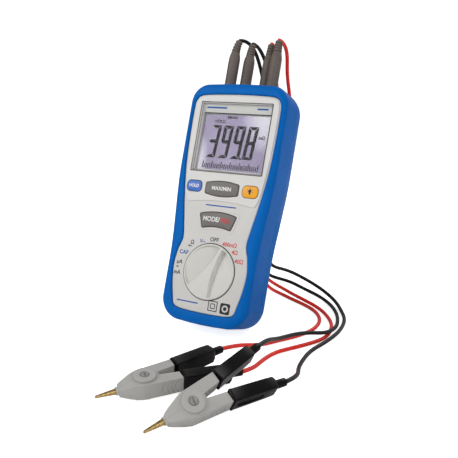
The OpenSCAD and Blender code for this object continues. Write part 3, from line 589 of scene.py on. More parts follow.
body_half = ([Vector((0, 0)), Vector((12, END_ARCH * 0.25))]
             + arc_points(GRIP_W / 2 - 20, 20 + END_ARCH, 20, -86, 0, 24)
             + [Vector((side_x(y), y)) for y in range(24, 198, 6)]
             + arc_points(BODY_W / 2 - 17, BODY_LEN - 17 - END_ARCH, 17, 0, 86, 22)
             + [Vector((16, BODY_LEN - END_ARCH * 0.3)), Vector((0, BODY_LEN))])

panel_half = catmull([(0, 10.7), (15, 11), (25, 11.9), (30.4, 14.4), (32.4, 21), (35.3, 34),
                      (36.9, 49.5), (35.2, 63.5), (32, 75), (34, 90), (37.4, 109), (41.6, 139),
                      (43.2, 170), (43.3, 196), (42, 203.4), (37.5, 207.6), (25, 209), (0, 209.6)], 8)
panel_outline = mirrored(panel_half)


def matched_halves(count):
    """The body's and the panel's outlines, resampled so that point i of one faces point i of the other."""
    def nearest(points, target):
        return min(range(len(points)), key=lambda i: (points[i] - Vector(target)).length)
    body_marks = [(0, 0), (37.6, 6.8), (43.5, 36), (44.0, 75), (48.5, 150), (43.5, 215), (0, 220)]
    panel_marks = [(0, 10.7), (31.0, 15.6), (35.6, 36), (32, 75), (42.3, 150), (40.4, 206), (0, 209.6)]
    shares = (0.17, 0.13, 0.16, 0.22, 0.17, 0.15)
    out = []
    for half, marks in ((body_half, body_marks), (panel_half, panel_marks)):
        cuts = [nearest(half, m) for m in marks]
        pts = []
        for a, b, share in zip(cuts, cuts[1:], shares):
            pts += resample(half[a:b + 1], max(4, round(count * share)) + 1, closed=False)[:-1]
        out.append(mirrored(pts + [half[-1]]))
    return out


skin, lip = matched_halves(150)

# ---------- holster ----------

# Outer skin behind the front rounding: z, narrowing of each side, of the bottom and of the top
BACK_LEVELS = [(0, 10.5, 3.3, 7), (1.2, 8.2, 2.3, 5.2), (3, 6.4, 1.7, 4), (6, 4.3, 1.05, 2.6),
               (10, 2.5, 0.55, 1.5), (15, 1.2, 0.2, 0.7), (21, 0.3, 0.05, 0.2), (26, 0, 0, 0),
               (47, 0, 0, 0)]
FRONT_ROUND = 4.1
ROUND_LOW_Z = 47.2


def grip_ripple(x, y, z):
    """Fine raised lines along the rear half of the sides, fading out at their ends."""
    if abs(x) < 38 or not 8 < z < 25:
        return 0
    fade = ease(14, 24, y) * (1 - ease(96, 116, y)) * ease(8, 10, z) * (1 - ease(23, 25, z))
    return 0.28 * fade * (0.5 - 0.5 * math.cos((z - 8) * 2 * math.pi / 2.4))


sides_and_bottom = catmull([level[:3] for level in BACK_LEVELS], 12)
tops = catmull([(level[0], level[3], 0) for level in BACK_LEVELS], 12)


def skin_level(z):
    """Narrowing of each side, of the bottom and of the top at height z, smoothed between the levels."""
    for a, b, c, d in zip(sides_and_bottom, sides_and_bottom[1:], tops, tops[1:]):
        if a.x <= z <= b.x:
            t = (z - a.x) / max(b.x - a.x, 1e-6)
            return a.y + (b.y - a.y) * t, a.z + (b.z - a.z) * t, c.y + (d.y - c.y) * t
    return 0, 0, 0


def holster():
    rings = []
    for z in [0, 0.5, 1.2, 2, 3, 4.5, 6] + [8 + 0.4 * k for k in range(43)] + [26, 30, 36, 42, 46.2]:
        side, bottom, top = skin_level(z)
        ring = []
        for p in skin:
            x = p.x * (1 - 2 * side / BODY_W)
            y = bottom + p.y * (BODY_LEN - bottom - top) / BODY_LEN
            x += math.copysign(grip_ripple(x, y, z), x) if x else 0
            ring.append(Vector((x, y, z)))
        rings.append(ring)
    # Rounded front edge, crowned front face, soft lip and the groove next to the panel
    for a in (12, 26, 40, 54, 66, 78):
        c, s = direction(a)
        rings.append(at_height(inset(skin, FRONT_ROUND * (1 - c)), ROUND_LOW_Z + FRONT_ROUND * s))
    outer = inset(skin, FRONT_ROUND)
    inner = inset(lip, -1.3)
    for f in (0.0, 0.25, 0.5, 0.75, 1.0):
        crown = 51.35 + 0.3 * math.sin(math.pi * (0.15 + 0.7 * f))
        rings.append(at_height([a.lerp(b, f) for a, b in zip(outer, inner)], crown))
    for d, z in ((-1.0, 51.4), (-0.62, 51.12), (-0.4, 50.7), (-0.32, 50.0), (-0.3, 48.4), (-0.3, 46.8)):
        rings.append(at_height(inset(lip, d), z))
    # Hidden inner faces: flange, cavity, ledge and the opening in the back
    for d, z in ((4.2, 46.6), (4.2, 14.1), (13.8, 14.1), (13.8, 1.0), (13.6, 0.3), (13.2, 0.0)):
        rings.append(at_height(inset(skin, d), z))
    shell = rings_mesh("holster_shell", rings, METER, mat_holster, looped=True)
    well = [(6.9, 226), (6.9, 219.0), (6.3, 218.2), (6.2, 204)]
    cutters = [lathe("well", well, METER, mat_holster, centre=c, axis="Y", sides=40) for c in SOCKETS]
    pocket = plate_mesh("pocket", [shifted(round_rect(32.8, 100, 1.5), 0, 38.7)], -4, 5, 0.3)
    combine(shell, cutters + [placed("pocket", pocket, METER)])
    finish(shell, "meter", ["holster"], sharp=42)


holster()

# ---------- grey front panel ----------

# Keys: middle x, y, width, height and corner radius
HOLD_KEY = (-28.8, 123, 15, 10, 3.6)
LIGHT_KEY = (27.6, 122.3, 15, 10.4, 3.8)
MAX_KEY = (-0.5, 122.4)
KNOB_R = 24.9
DISPLAY_Y = (136.8, 202.1)
DISPLAY_HALF_W = 36.2


def key_loop(k, grow=0.0):
    return shifted(round_rect(k[2] + 2 * grow, k[3] + 2 * grow, k[4] + grow), k[0], k[1])


def hold_loop(grow=0.0):
    return key_loop(HOLD_KEY, grow)


def light_loop(grow=0.0):
    return key_loop(LIGHT_KEY, grow)


def max_loop(grow=0.0):
    """Barrel-shaped key: two long arcs, closed by short rounded ends."""
    half_w, half_h, bulge, r = 16.5 + grow, 6.8 + grow, 2.35, 2.4
    reach = half_w - r
    top = [Vector((x, half_h - bulge * (x / half_w) ** 2)) for x in
           [reach - 2 * reach * i / 28 for i in range(29)]]
    right = arc_points(reach, top[0].y - r * 0.9 - 0.1, r, 0, 80, 6)
    half = right + top + [Vector((-p.x, p.y)) for p in right[::-1]]
    return shifted(half + [-p for p in half], *MAX_KEY)


def mode_loop(grow=0.0):
    """Fan-shaped key between two arcs about one centre, with rounded corners."""
    cy, r_out, r_in = 36.6, 64.6 + grow, 51.6 - grow
    half_out = 16.45 + math.degrees(grow / r_out)
    half_in = 16.05 + math.degrees(grow / r_in)
    outer = arc_points(0, cy, r_out, 90 - half_out, 90 + half_out, 24)
    inner = arc_points(0, cy, r_in, 90 + half_in, 90 - half_in, 20)
    return rounded_corners(outer + inner, [0, 24, 25, 45], 1.6 + grow * 0.5)


def display_loop(grow=0.0, r=1.0):
    w, h = 2 * DISPLAY_HALF_W + 2 * grow, DISPLAY_Y[1] - DISPLAY_Y[0] + 2 * grow
    return shifted(round_rect(w, h, r), 0, (DISPLAY_Y[0] + DISPLAY_Y[1]) / 2)


def upper_plate_loop():
    """Raised plate behind the display and upper keys; its lower edge is a shallow arch."""
    edge = [p for p in inset(panel_outline, 1.5) if p.y > 113]
    right = sorted([p for p in edge if p.x >= 0], key=lambda p: math.atan2(p.y - 160, p.x))
    left = sorted([p for p in edge if p.x < 0], key=lambda p: math.atan2(p.y - 160, -p.x), reverse=True)
    arch = [Vector((x, 111.4 - 0.00285 * x * x)) for x in [-29.6 + 59.2 * i / 30 for i in range(31)]]
    corner = [Vector((-35.1, 111.6)), Vector((-34.4, 109.9)), Vector((-32.6, 108.7))]
    return right + left + corner + arch + [Vector((-p.x, p.y)) for p in corner[::-1]]


def front_panel():
    key_holes = [hold_loop(0.35), light_loop(0.35), max_loop(0.35), mode_loop(0.35)]
    plate("front_panel", [resample(panel_outline, 260), display_loop(0.1), *key_holes,
                          circle(KNOB_R + 0.45, 128, 0, KNOB_Y)],
          46.5, PANEL_Z, 0.75, mat_panel, replaced=["front_case"], segments=4)
    plate("display_plate", [upper_plate_loop(), display_loop(0.1), hold_loop(0.3), light_loop(0.3),
                            max_loop(0.3)],
          PANEL_Z - 0.4, FACE_Z, 0.32, mat_plate, ["face_plate"])
    plate("mode_rim", [mode_loop(3.0), mode_loop(0.6)], PANEL_Z - 0.5, PANEL_Z + 0.32, 0.3, mat_panel,
          segments=4)
    # Case walls inside the holster
    loops = [resample(inset(skin, d), 200) for d in (4.4, 6.8)]
    wall = placed("case_walls", plate_mesh("case_walls", loops, 28.2, 46.4, 0.3), METER, mat_panel)
    combine(wall, [lathe("well", [(6.1, 226), (6.1, 204)], METER, mat_panel, centre=c, axis="Y", sides=40)
                   for c in SOCKETS])
    finish(wall, "meter", weighted=True)


front_panel()

# ---------- display ----------


def display():
    # Sloped frame from the face down to the window
    rings = []
    for grow, z in ((0.05, 50.2), (0.05, 50.88), (-0.15, 50.95), (-0.45, 50.9), (-0.62, 50.6),
                    (-1.3, 49.2), (-1.42, 49.05), (-1.5, 48.6), (-2.3, 47.2), (-2.5, 47.1), (-2.5, 47.02)):
        rings.append(at_height(display_loop(grow, 0.9 if grow > -1 else 0.6), z))
    bezel = rings_mesh("display_frame", rings, METER, mat_bezel, close_ends=False)
    finish(bezel, "meter", ["display_bezel"], sharp=30)
    pane = plate("display_window", [display_loop(-0.3, 0.8)], 46.2, 47.0, 0.12, mat_window,
                 ["display_window"])
    pane.visible_shadow = False
    plate("display_glass", [shifted(round_rect(69.6, 57.2, 0.6), 0, 164.5)], 43.4, 45.2, 0.1, mat_lcd,
          ["lcd_panel"])
    plate("title_strip", [shifted(round_rect(67.6, 7.2, 0.5), 0, 196.5)], 46.9, 47.12, 0.05, mat_strip)
    plate("title_line", [shifted(round_rect(67.6, 0.7, 0.3), 0, 192.5)], 46.9, 47.14, 0.04, mat_gap)
    for name, outer, low in (("frame_line_outer", -0.1, 50.9), ("frame_line_inner", -1.1, 49.15)):
        plate(name, [display_loop(outer), display_loop(outer - 0.5)], low, low + 0.12, 0.04, mat_gap)
    for name, x, wide in (("title_bar_left", -21.5, 21), ("title_bar_right", 24.8, 11)):
        plate(name, [shifted(round_rect(wide, 1.5, 0.6), x, 197.6)], 47.05, 47.22, 0.05, mat_ink_blue)


# Digits: low edge, size, thickness of a segment, gap between segments and slant
DIGIT_LOW, DIGIT_W, DIGIT_H, SEGMENT_T, GAP, SLANT = 151.4, 9.8, 30.4, 3.2, 0.3, 0.085
GLASS_Z = 45.22
SEGMENTS_LIT = {"3": "abcdg", "9": "abcdfg", "8": "abcdefg"}


def across(x0, y, kind):
    """Level segment of a digit that starts at x0."""
    a, b, t = x0 + GAP, x0 + DIGIT_W - GAP, SEGMENT_T
    if kind == "top":
        return [(a, y), (b, y), (b - t, y - t * 0.92), (a + t, y - t * 0.92)]
    if kind == "low":
        return [(a, y), (a + t, y + t * 0.92), (b - t, y + t * 0.92), (b, y)]
    k = t / 2
    return [(a, y), (a + k, y + k), (b - k, y + k), (b, y), (b - k, y - k), (a + k, y - k)]


def upright(x0, y_out, y_mid, side):
    """Upright segment on one side of a digit, between an outer end and the middle."""
    x_out = x0 if side < 0 else x0 + DIGIT_W
    x_in = x_out - side * SEGMENT_T
    s = 1 if y_out > y_mid else -1
    return [(x_out, y_out - s * GAP), (x_in, y_out - s * (SEGMENT_T + GAP * 0.6)),
            (x_in, y_mid + s * (SEGMENT_T / 2 + GAP * 0.4)),
            (x_out - side * SEGMENT_T * 0.45, y_mid + s * GAP), (x_out, y_mid + s * GAP * 2)]


def segments():
    """Seven-segment digits, small words, unit and bar scale on the glass."""
    low, mid, high = DIGIT_LOW, DIGIT_LOW + DIGIT_H / 2, DIGIT_LOW + DIGIT_H
    outlines = []
    for x0, digit in ((-26.4, "3"), (-13.9, "9"), (-1.5, "9"), (11.0, "8")):
        shapes = {"a": across(x0, high, "top"), "g": across(x0, mid, "mid"), "d": across(x0, low, "low"),
                  "b": upright(x0, high, mid, 1), "c": upright(x0, low, mid, 1),
                  "f": upright(x0, high, mid, -1), "e": upright(x0, low, mid, -1)}
        outlines += [shapes[s] for s in SEGMENTS_LIT[digit]]
    outlines.append(rectangle(8.5, low - 0.6, 10.3, low + 1.4))
    # Bar scale: a row of ticks of changing height
    for i in range(31):
        x, tall = -27.4 + i * 1.86, 6.4 if i % 5 == 0 else 4.2
        outlines.append(rectangle(x, 141.6, x + 0.9, 141.6 + tall))
    outlines = [[(x + SLANT * (y - low), y) for x, y in pts] for pts in outlines]
    prisms("display_digits", outlines, GLASS_Z, GLASS_Z + 0.1, mat_segment)
    for name, words, size, x, y in (("word_hold", "HOLD", 3.9, -16.8, 185.4),
                                    ("word_auto", "MANU", 3.5, -4.6, 189.4),
                                    ("word_unit", "mΩ", 4.0, 27.4, 172.0)):
        lettering(name, words, size, x, y, GLASS_Z, mat_segment, depth=0.05, bold=0.14)


display()
segments()

# ---------- keys ----------

KEY_FOOT_Z = 45.4


def key_cap(key, loop, top, crown, mat):
    """Key with a rounded edge and a slightly crowned top."""
    pts = resample(loop, 96)
    middle = sum(pts, Vector((0, 0))) / len(pts)
    rings = [at_height(pts, KEY_FOOT_Z)]
    edge = 0.7
    for a in range(0, 91, 18):
        c, s = direction(a)
        rings.append(at_height(inset(pts, edge * (1 - c)), top - edge + edge * s))
    brim = inset(pts, edge)
    for f in (0.85, 0.65, 0.42, 0.2, 0.06):
        inner = [middle + (p - middle) * f for p in brim]
        rings.append(at_height(inner, top + crown * (1 - f * f)))
    cap = rings_mesh(key + "_key_cap", rings, METER, mat)
    finish(cap, key + "_key", [key + "_button"])


def keys():
    top_z = FACE_Z + 0.75
    key_cap("hold", hold_loop(), top_z, 0.4, mat_key_blue)
    key_cap("backlight", light_loop(), top_z, 0.4, mat_key_orange)
    key_cap("max_min", max_loop(), top_z, 0.4, mat_key_grey)
    key_cap("mode", mode_loop(), PANEL_Z + 0.95, 0.35, mat_key_grey)
    top, low_top = top_z + 0.36, PANEL_Z + 1.24
    white, red = mat_ink_white, mat_ink_red
    for name, words, size, x, y, z, mat, key, slot_name, bold, wide in (
            ("hold_word", "HOLD", 4.0, -28.8, 123.0, top, white, "hold", "key_blue", 0.1, 0.92),
            ("max_min_word", "MAX/MIN", 4.7, -0.5, 122.4, top, white, "max_min", "key_grey", 0.14, 0.98),
            ("mode_word", "MODE/", 5.9, -5.8, 94.4, low_top, white, "mode", "key_grey", 0.13, 0.92),
            ("rel_word", "REL", 5.9, 8.5, 94.3, low_top, red, "mode", "key_grey", 0.13, 0.92)):
        lettering(name, words, size, x, y, z, mat, key + "_key", 0.1, wide, bold)
    # Dark rings in the gaps round the keys: painted shade of the gaps
    for name, loop, outer, inner, high in (("hold_gap_shade", hold_loop, 0.5, 0.12, FACE_Z),
                                           ("light_gap_shade", light_loop, 0.5, 0.12, FACE_Z),
                                           ("max_gap_shade", max_loop, 0.6, 0.16, FACE_Z),
                                           ("mode_key_gap_shade", mode_loop, 0.7, 0.16, PANEL_Z + 0.1)):
        plate(name, [loop(outer), loop(inner)], 49.0, high + 0.06, 0.08, mat_gap_shade)
    # Lamp sign: bulb, neck and rays
    x, y = LIGHT_KEY[:2]
    bulb = arc_points(0, 0.75, 1.55, -50, 230, 20)
    neck = [Vector((-0.75, -1.1)), Vector((-0.75, -2.3)), Vector((0.75, -2.3)), Vector((0.75, -1.1))]
    plate("lamp_sign", [shifted(bulb + neck, x, y)], top - 0.12, top + 0.12, 0.04, mat_ink_black,
          body="backlight_key")
    rays = []
    ray = rectangle(2.3, -0.2, 3.2, 0.2)
    for a in (-20, 25, 90, 155, 200):
        c, s = direction(a)
        rays.append([(x + u * c - v * s, y + 0.75 + u * s + v * c) for u, v in ray])
    prisms("lamp_rays", rays, top - 0.08, top + 0.08, mat_ink_black, "backlight_key")


keys()

# ---------- selector knob ----------

POINTER = -22.5
KNOB_TOP = 51.5
KNOB_RIM = 23.6


def knob_height(x, y):
    """Height of the knob's face: a wedge-shaped grip between two recesses that rise to the rim."""
    r = math.hypot(x, y)
    floor = min(KNOB_TOP - max(0.0, KNOB_RIM - abs(x)) * 5.6 / (KNOB_RIM - 2), KNOB_TOP)
    grip_half = 1.2 + 10.8 * (max(22.6 - y, 0) / 44.6) ** 2
    wall = ease(0, 1.5, abs(x) - grip_half)
    lip_fade = ease(0, 1.1, KNOB_RIM - r)
    round_edge = 0.55 * max(0.0, (r - KNOB_R + 0.9) / 0.9) ** 2
    return KNOB_TOP - (KNOB_TOP - floor) * wall * lip_fade - round_edge


def knob():
    spin = Matrix.Rotation(math.radians(POINTER), 2)
    radii = ([0.55 * k for k in range(39)] + [21.2 + 0.16 * k for k in range(1, 20)]
             + [24.4, 24.6, 24.75, 24.85, KNOB_R])
    rings = []
    for r in radii:
        face = circle(r, 288)
        rings.append([Vector((*(spin @ p + Vector((0, KNOB_Y))), knob_height(*p))) for p in face])
    rings.append(at_height([p.xy for p in rings[-1]], 45.0))
    finish(rings_mesh("knob_cap", rings, METER, mat_knob), "selector", ["selector_knob"],
           sharp=50)
    gap = [circle(KNOB_R + d, 128, 0, KNOB_Y) for d in (0.85, 0.12)]
    plate("knob_gap", gap, PANEL_Z - 1.2, PANEL_Z - 0.02, 0.04, mat_gap)


knob()

# ---------- marks round the knob ----------


def dial_marks():
    z = PANEL_Z - 0.02
    marks = [("OFF", 5.25, 0.3, 76.5, mat_ink_black), ("400mΩ", 4.95, 15.9, 73.8, mat_ink_red),
             ("4Ω", 5.1, 22.1, 67.8, mat_ink_red), ("40Ω", 5.1, 27.5, 60.5, mat_ink_red),
             ("V~", 4.95, -11.3, 73.8, mat_ink_blue), ("Ω", 4.95, -21.4, 71.6, mat_ink_black),
             ("CAP", 5.1, -28.4, 61.7, mat_ink_blue), ("µA", 5.1, -31.2, 52.6, mat_ink_black),
             ("=", 4.5, -32.6, 47.8, mat_ink_black), ("mA", 5.1, -32.0, 42.9, mat_ink_black)]
    for i, (words, size, x, y, mat) in enumerate(marks):
        lettering(f"dial_mark_{i}", words, size, x, y, z, mat, depth=0.07, bold=0.11, wide=0.95)
    # Diode sign beside the ohm mark: triangle, bar and line
    signs = [[(-24.6, 67.2), (-24.6, 69.4), (-22.6, 68.3)], rectangle(-22.5, 67.2, -22.1, 69.4),
             rectangle(-26.0, 68.15, -24.6, 68.45), rectangle(-22.1, 68.15, -20.9, 68.45)]
    # Sign for double insulation: a square inside a square
    cx, cy = 9.4, 18.6
    for half, t in ((4.2, 0.8), (2.0, 0.7)):
        for sx, sy, wx, wy in ((0, half, half, t / 2), (0, -half, half, t / 2),
                               (half, 0, t / 2, half), (-half, 0, t / 2, half)):
            signs.append(rectangle(cx + sx - wx, cy + sy - wy, cx + sx + wx, cy + sy + wy))
    prisms("dial_signs", signs, z - 0.05, z + 0.07, mat_ink_black)
    # Plain printed shapes: a dark badge with a ring-shaped opening, and blue lines
    badge = Vector((21.6, 18.2))
    for name, loops, mat in (
            ("badge", [shifted(round_rect(9.6, 9.6, 1.6), *badge), circle(3.1, 40, *badge)], mat_ink_black),
            ("badge_dot", [circle(1.7, 32, *badge)], mat_ink_black),
            ("blue_line_upper", [shifted(round_rect(31, 1.1, 0.5), 0.9, 107.0)], mat_ink_blue),
            ("blue_line_lower", [shifted(round_rect(22, 1.1, 0.5), -16.5, 18.6)], mat_ink_blue)):
        plate(name, loops, z - 0.1, z + 0.08, 0.03, mat)


dial_marks()

# ---------- plugs and leads ----------

PLUG_TOP = 255.0
RELIEF_LEN = 13.0
LEAD_R = 1.75
# Points between two of a lead's way points, and rounds of smoothing
LEAD_STEPS, LEAD_ROUNDS = 14, 40
# The set's own floor frame in millimetres: the record's axes, with the meter's bottom edge at y = 0
SET = Matrix.Translation((meter_origin.x, meter_origin.y, 0)) @ TO_MM


def owner(node):
    """Name of the record's body that holds a node."""
    for body, nodes in frame["record"]["behaviour"]["bodies"].items():
        if node in nodes:
            return body
    raise KeyError(node)


def to_set(place, point):
    """A point of another frame, in the set's floor frame."""
    return SET.inverted() @ (place @ Vector(point))


def flowing(points):
    """Smooth curve through unevenly spaced points (centripetal), without kinks or overshoot."""
    pts = [Vector(p) for p in points]
    pts = [pts[0] * 2 - pts[1]] + pts + [pts[-1] * 2 - pts[-2]]
    out = []
    for a, b, c, d in zip(pts, pts[1:], pts[2:], pts[3:]):
        t1 = (b - a).length ** 0.5
        t2 = t1 + (c - b).length ** 0.5
        t3 = t2 + (d - c).length ** 0.5
        for k in range(LEAD_STEPS):
            t = t1 + (t2 - t1) * k / LEAD_STEPS
            ab = a.lerp(b, t / t1)
            bc = b.lerp(c, (t - t1) / (t2 - t1))
            cd = c.lerp(d, (t - t2) / (t3 - t2))
            out.append(ab.lerp(bc, t / t2).lerp(bc.lerp(cd, (t - t1) / (t3 - t1)), (t - t1) / (t2 - t1)))
    out.append(pts[-2])
    return out


def relaxed(path):
    """The path with its small wiggles smoothed away; its first and last few points stay."""
    pts = [Vector(p) for p in path]
    for _ in range(LEAD_ROUNDS):
        pts[6:-6] = [(pts[i - 1] + pts[i] * 2 + pts[i + 1]) / 4 for i in range(6, len(pts) - 6)]
    return pts


# Which way each plug's side slot faces, and how far its strain relief is bent to the right at its top
PLUG_TURNS = (-46, 150, 170, 200)
RELIEF_BENDS = (2.6, 1.0, 0.0, 0.0)


def relief_point(i, f):
    """A point on the middle line of a strain relief, at fraction f of its length."""
    x, z = SOCKETS[i]
    return to_set(METER, (x + RELIEF_BENDS[i] * f * f, PLUG_TOP - 0.1 + (RELIEF_LEN + 0.1) * f, z))


def relief_radius(f):
    """Radius along the strain relief: five tapering segments with narrow necks, and a domed end."""
    count = 5
    k = min(int(f * count), count - 1)
    part = f * count - k
    neck = ease(0.6, 0.72, part) * (1 - ease(0.9, 1.0, part)) if k < count - 1 else 0
    dome = 1.7 * ease(0.45, 1.0, part) ** 2 if k == count - 1 else 0
    return 4.15 - 0.2 * k - 0.9 * neck - dome


def plugs():
    profile = [(3.6, 200.5), (5.1, 200.5), (5.35, 200.9), (5.35, 226)]
    for k in range(9):
        y = 227.4 + 2.3 * k
        profile += [(5.35, y), (5.35, y + 1.3), (5.2, y + 1.6), (5.2, y + 2.0)]
    profile += [(5.33, 248.4), (5.2, 250.2), (4.95, 252.2), (4.6, 254.0), (4.3, PLUG_TOP - 0.1),
                (0.5, PLUG_TOP)]
    bodies, reliefs = [], []
    for i, (x, z) in enumerate(SOCKETS):
        body = lathe(f"plug_{i}", profile, METER, mat_plug, centre=(x, z), axis="Y", sides=56)
        # Side slot of the plug; each plug is turned its own way in its socket
        dent = plate_mesh("dent", [round_rect(3.2, 20, 1.5)], 3.4, 7.4, 0.2)
        turn = Matrix.Rotation(math.radians(PLUG_TURNS[i]), 4, "Y")
        dent.transform(Matrix.Translation((x, 236, z)) @ turn)
        bodies.append(combine(body, [placed("dent", dent, METER)]))
        path = [relief_point(i, k / 90) for k in range(91)]
        reliefs.append(tube(f"relief_{i}", path, relief_radius, SET, mat_plug, sides=32))
    finish(joined("plugs", bodies), "meter", ["plug_bodies"], sharp=35)
    finish(joined("strain_reliefs", reliefs), "meter", ["plug_strain_reliefs"], sharp=60)


plugs()

# Points that each lead passes through behind the meter and on the floor, in the set's frame
WAYS = {
    "black_current": [(-13, 78, 255), (-8, 89, 231), (-4, 98, 180), (-2, 101, 110), (0, 98, 60),
                      (4, 94, 32), (20, 102, 27), (38, 105, 20), (58, 104, 12), (76, 96, 5),
                      (90, 77, 2.1), (100, 56, 2.1), (104, 27, 2.1), (101, -1, 2.1), (96, -25, 2.1),
                      (97, -49, 2.1), (100.4, -64.5, 3.8), (106.2, -79.8, 8.2),
                      (109.5, -96, 12.7)],
    "black_sense": [(-7, 83, 252), (-3, 91, 236), (2, 105, 175), (3, 109, 100), (-5, 106, 45),
                    (-6, 103, 20), (22, 109, 12), (38, 106, 8), (56, 101, 5), (73, 90, 2.5),
                    (88, 68, 2.1), (96, 47, 2.1), (100, 24, 4.8), (97, 6, 7), (87, -5, 9.5),
                    (81, -21, 13), (78, -51, 20), (78.3, -62.4, 23.7), (80, -74.6, 28.6),
                    (81.3, -87.5, 32.3)],
    "red_current": [(10, 81, 253), (7, 89, 238), (6, 97, 214), (8, 107, 170), (0, 114, 100), (-10, 113, 45),
                    (-10, 108, 17), (24, 93, 7.5), (46, 85, 4), (66, 75, 2.1), (81, 59, 2.1),
                    (93, 39, 2.1), (97, 23, 2.1), (97, 5, 2.1), (89, -12, 2.1), (80, -27, 2.1),
                    (71, -41, 2.1), (68, -57, 2.2), (68.2, -67.5, 3.2), (70.2, -79.5, 5.6),
                    (70.6, -92, 8.3)],
    "red_sense": [(23, 78, 252), (20, 88, 229), (20, 98, 200), (12, 112, 150), (-6, 122, 80),
                  (-15, 119, 28), (-10, 114, 4.6), (25, 90, 2.2), (49, 77, 2.1), (64, 67, 2.1),
                  (76, 52, 2.1), (81, 39, 2.1), (82, 24, 2.1), (80, 13, 2.1), (73, -3, 2.1),
                  (62, -20, 2.1), (54, -36, 3), (46, -56, 9)],
}

# Clips: turn of each clip, and its handles' frame with u along a handle
CLIP_TURNS = {"red": (8.7, -2.2, 56.1), "black": (33.3, -8.5, 65.4)}
HANDLE_ANGLE = 10.0
ARM_LINE_Y = 4.0
ARM_END_X = 26.0
ARM_HALF_T = 6.5
BOOT_FRONT = ARM_END_X / math.cos(math.radians(HANDLE_ANGLE)) + 0.9
BOOT_END = BOOT_FRONT + 38
SLEEVE_END = BOOT_END + 8.9
TURNED_OVER = Matrix.Rotation(math.pi, 4, "X")


def arm_frame(colour, kind):
    place = clip_frame(colour)
    return place if kind == "moving" else place @ TURNED_OVER


def handle_frame(colour, kind):
    return (arm_frame(colour, kind) @ Matrix.Translation((0, ARM_LINE_Y, 0))
            @ Matrix.Rotation(math.radians(HANDLE_ANGLE), 4, "Z"))


def leads():
    for i, (name, way) in enumerate(WAYS.items()):
        colour, use = name.split("_")
        moving = use == "sense"
        start = [relief_point(i, f) for f in (0.5, 0.75, 0.95, 1.12)]
        handle = handle_frame(colour, "moving" if moving else "fixed")
        end = [to_set(handle, (SLEEVE_END + u, 0, 0)) for u in (1.5, -2, -6)]
        path = flowing(start + way + end)
        length = sum((b - a).length for a, b in zip(path, path[1:]))
        path = relaxed(resample(path, int(length / 1.4), closed=False))
        mat = mat_lead_red if colour == "red" else mat_lead_black
        cord = tube(name + "_lead_cord", path, LEAD_R, SET, mat)
        cord.data.transform(cord.matrix_world)
        cord.matrix_world = Matrix.Identity(4)
        if moving:
            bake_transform(cord)
            for p in cord.data.polygons:
                p.use_smooth = True
            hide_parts(name + "_lead")
        else:
            finish(cord, "meter", [name + "_lead"])


leads()

# ---------- Kelvin clips ----------

# Half of the gap between the two arms, the arms' front end and where their thickness starts to change
SPLIT = 0.05
NOSE_X = -20.5
TAPER_X = (-9, 11)


def line_y(x):
    return ARM_LINE_Y + x * math.tan(math.radians(HANDLE_ANGLE))


def arm_half_t(x):
    """Half thickness of an arm along the pivot: thin at the nose, thinning slightly to the handle."""
    if x < TAPER_X[0]:
        return 3.6 + (ARM_HALF_T - 3.6) * (x - NOSE_X) / (TAPER_X[0] - NOSE_X)
    return ARM_HALF_T - 0.6 * max(x - TAPER_X[1], 0) / 49


def half_ring(x, r, count):
    """Half circle about the clip's long middle line, on this arm's side of the split."""
    return [Vector((x, SPLIT + r * math.sin(math.pi * k / count), r * math.cos(math.pi * k / count)))
            for k in range(count + 1)]


def clip_arm(colour, kind):
    place = arm_frame(colour, kind)
    name = f"{colour}_{kind}_arm"
    body = owner(f"{colour}_clip_{kind}_arm")
    end = ARM_END_X
    inner = (9.5, line_y(9.5) - 4.2)
    outline = [Vector(p) for p in ((NOSE_X, -2), (inner[0], -2), inner, (end, line_y(end) - 4.2),
                                   (end, line_y(end) + 4.5), (4, 11.1), (-4, 10.4), (-17, 5.3),
                                   (NOSE_X, 3.6))]
    outline = rounded_corners(outline, [3, 4, 5, 6, 7, 8], 0.8)
    mesh = plate_mesh(name, [outline], -ARM_HALF_T, ARM_HALF_T, 0.7, 4)
    bm = bmesh.new()
    bm.from_mesh(mesh)
    for x in TAPER_X:
        geom = bm.verts[:] + bm.edges[:] + bm.faces[:]
        bmesh.ops.bisect_plane(bm, geom=geom, plane_co=(x, 0, 0), plane_no=(1, 0, 0))
    for v in bm.verts:
        v.co.z *= arm_half_t(v.co.x) / ARM_HALF_T
    bm.to_mesh(mesh)
    bm.free()
    arm = placed(name, mesh, place, mat_clip)
    below = plate_mesh("below", [[(-30, -6), (12, -6), inner, (0, SPLIT), (-30, SPLIT)]], -9, 9, 0.01)
    cutters = [placed("below", below, place), disc("upper_room", 10.64, -0.05, 9, 0.02, place)]
    # Curved grip grooves across the outer wall
    for k in range(4):
        arc = []
        for s in range(-8, 9):
            x = 9.5 + 3.4 * k + 2.4 * (s / 8) ** 2
            arc.append((x, 11.65 + (x - 4) * 0.0857, 5.0 * s / 8))
        cutters.append(tube("groove", arc, 0.95, place, mat_clip, sides=14))
    combine(arm, cutters)
    combine(arm, [disc("ear", 10.6, -ARM_HALF_T, -0.12, 0.04, place)], "UNION")
    combine(arm, [disc("spring_room", 6.2, -3.5, 3.5, 0.1, place), disc("bore", 2.6, -9, 9, 0.1, place)])
    finish(arm, body, [f"{colour}_clip_{kind}_arm"], sharp=40)
    # Collar round the root of the tip
    half = [half_ring(x, r, 24) for x, r in ((-18.5, 3.0), (-20.3, 3.1), (-21.9, 3.1), (-22.3, 3.0),
                                             (-22.5, 2.7), (-22.5, 2.4))]
    finish(rings_mesh(name + "_collar", half, place, mat_collar), body, sharp=40)


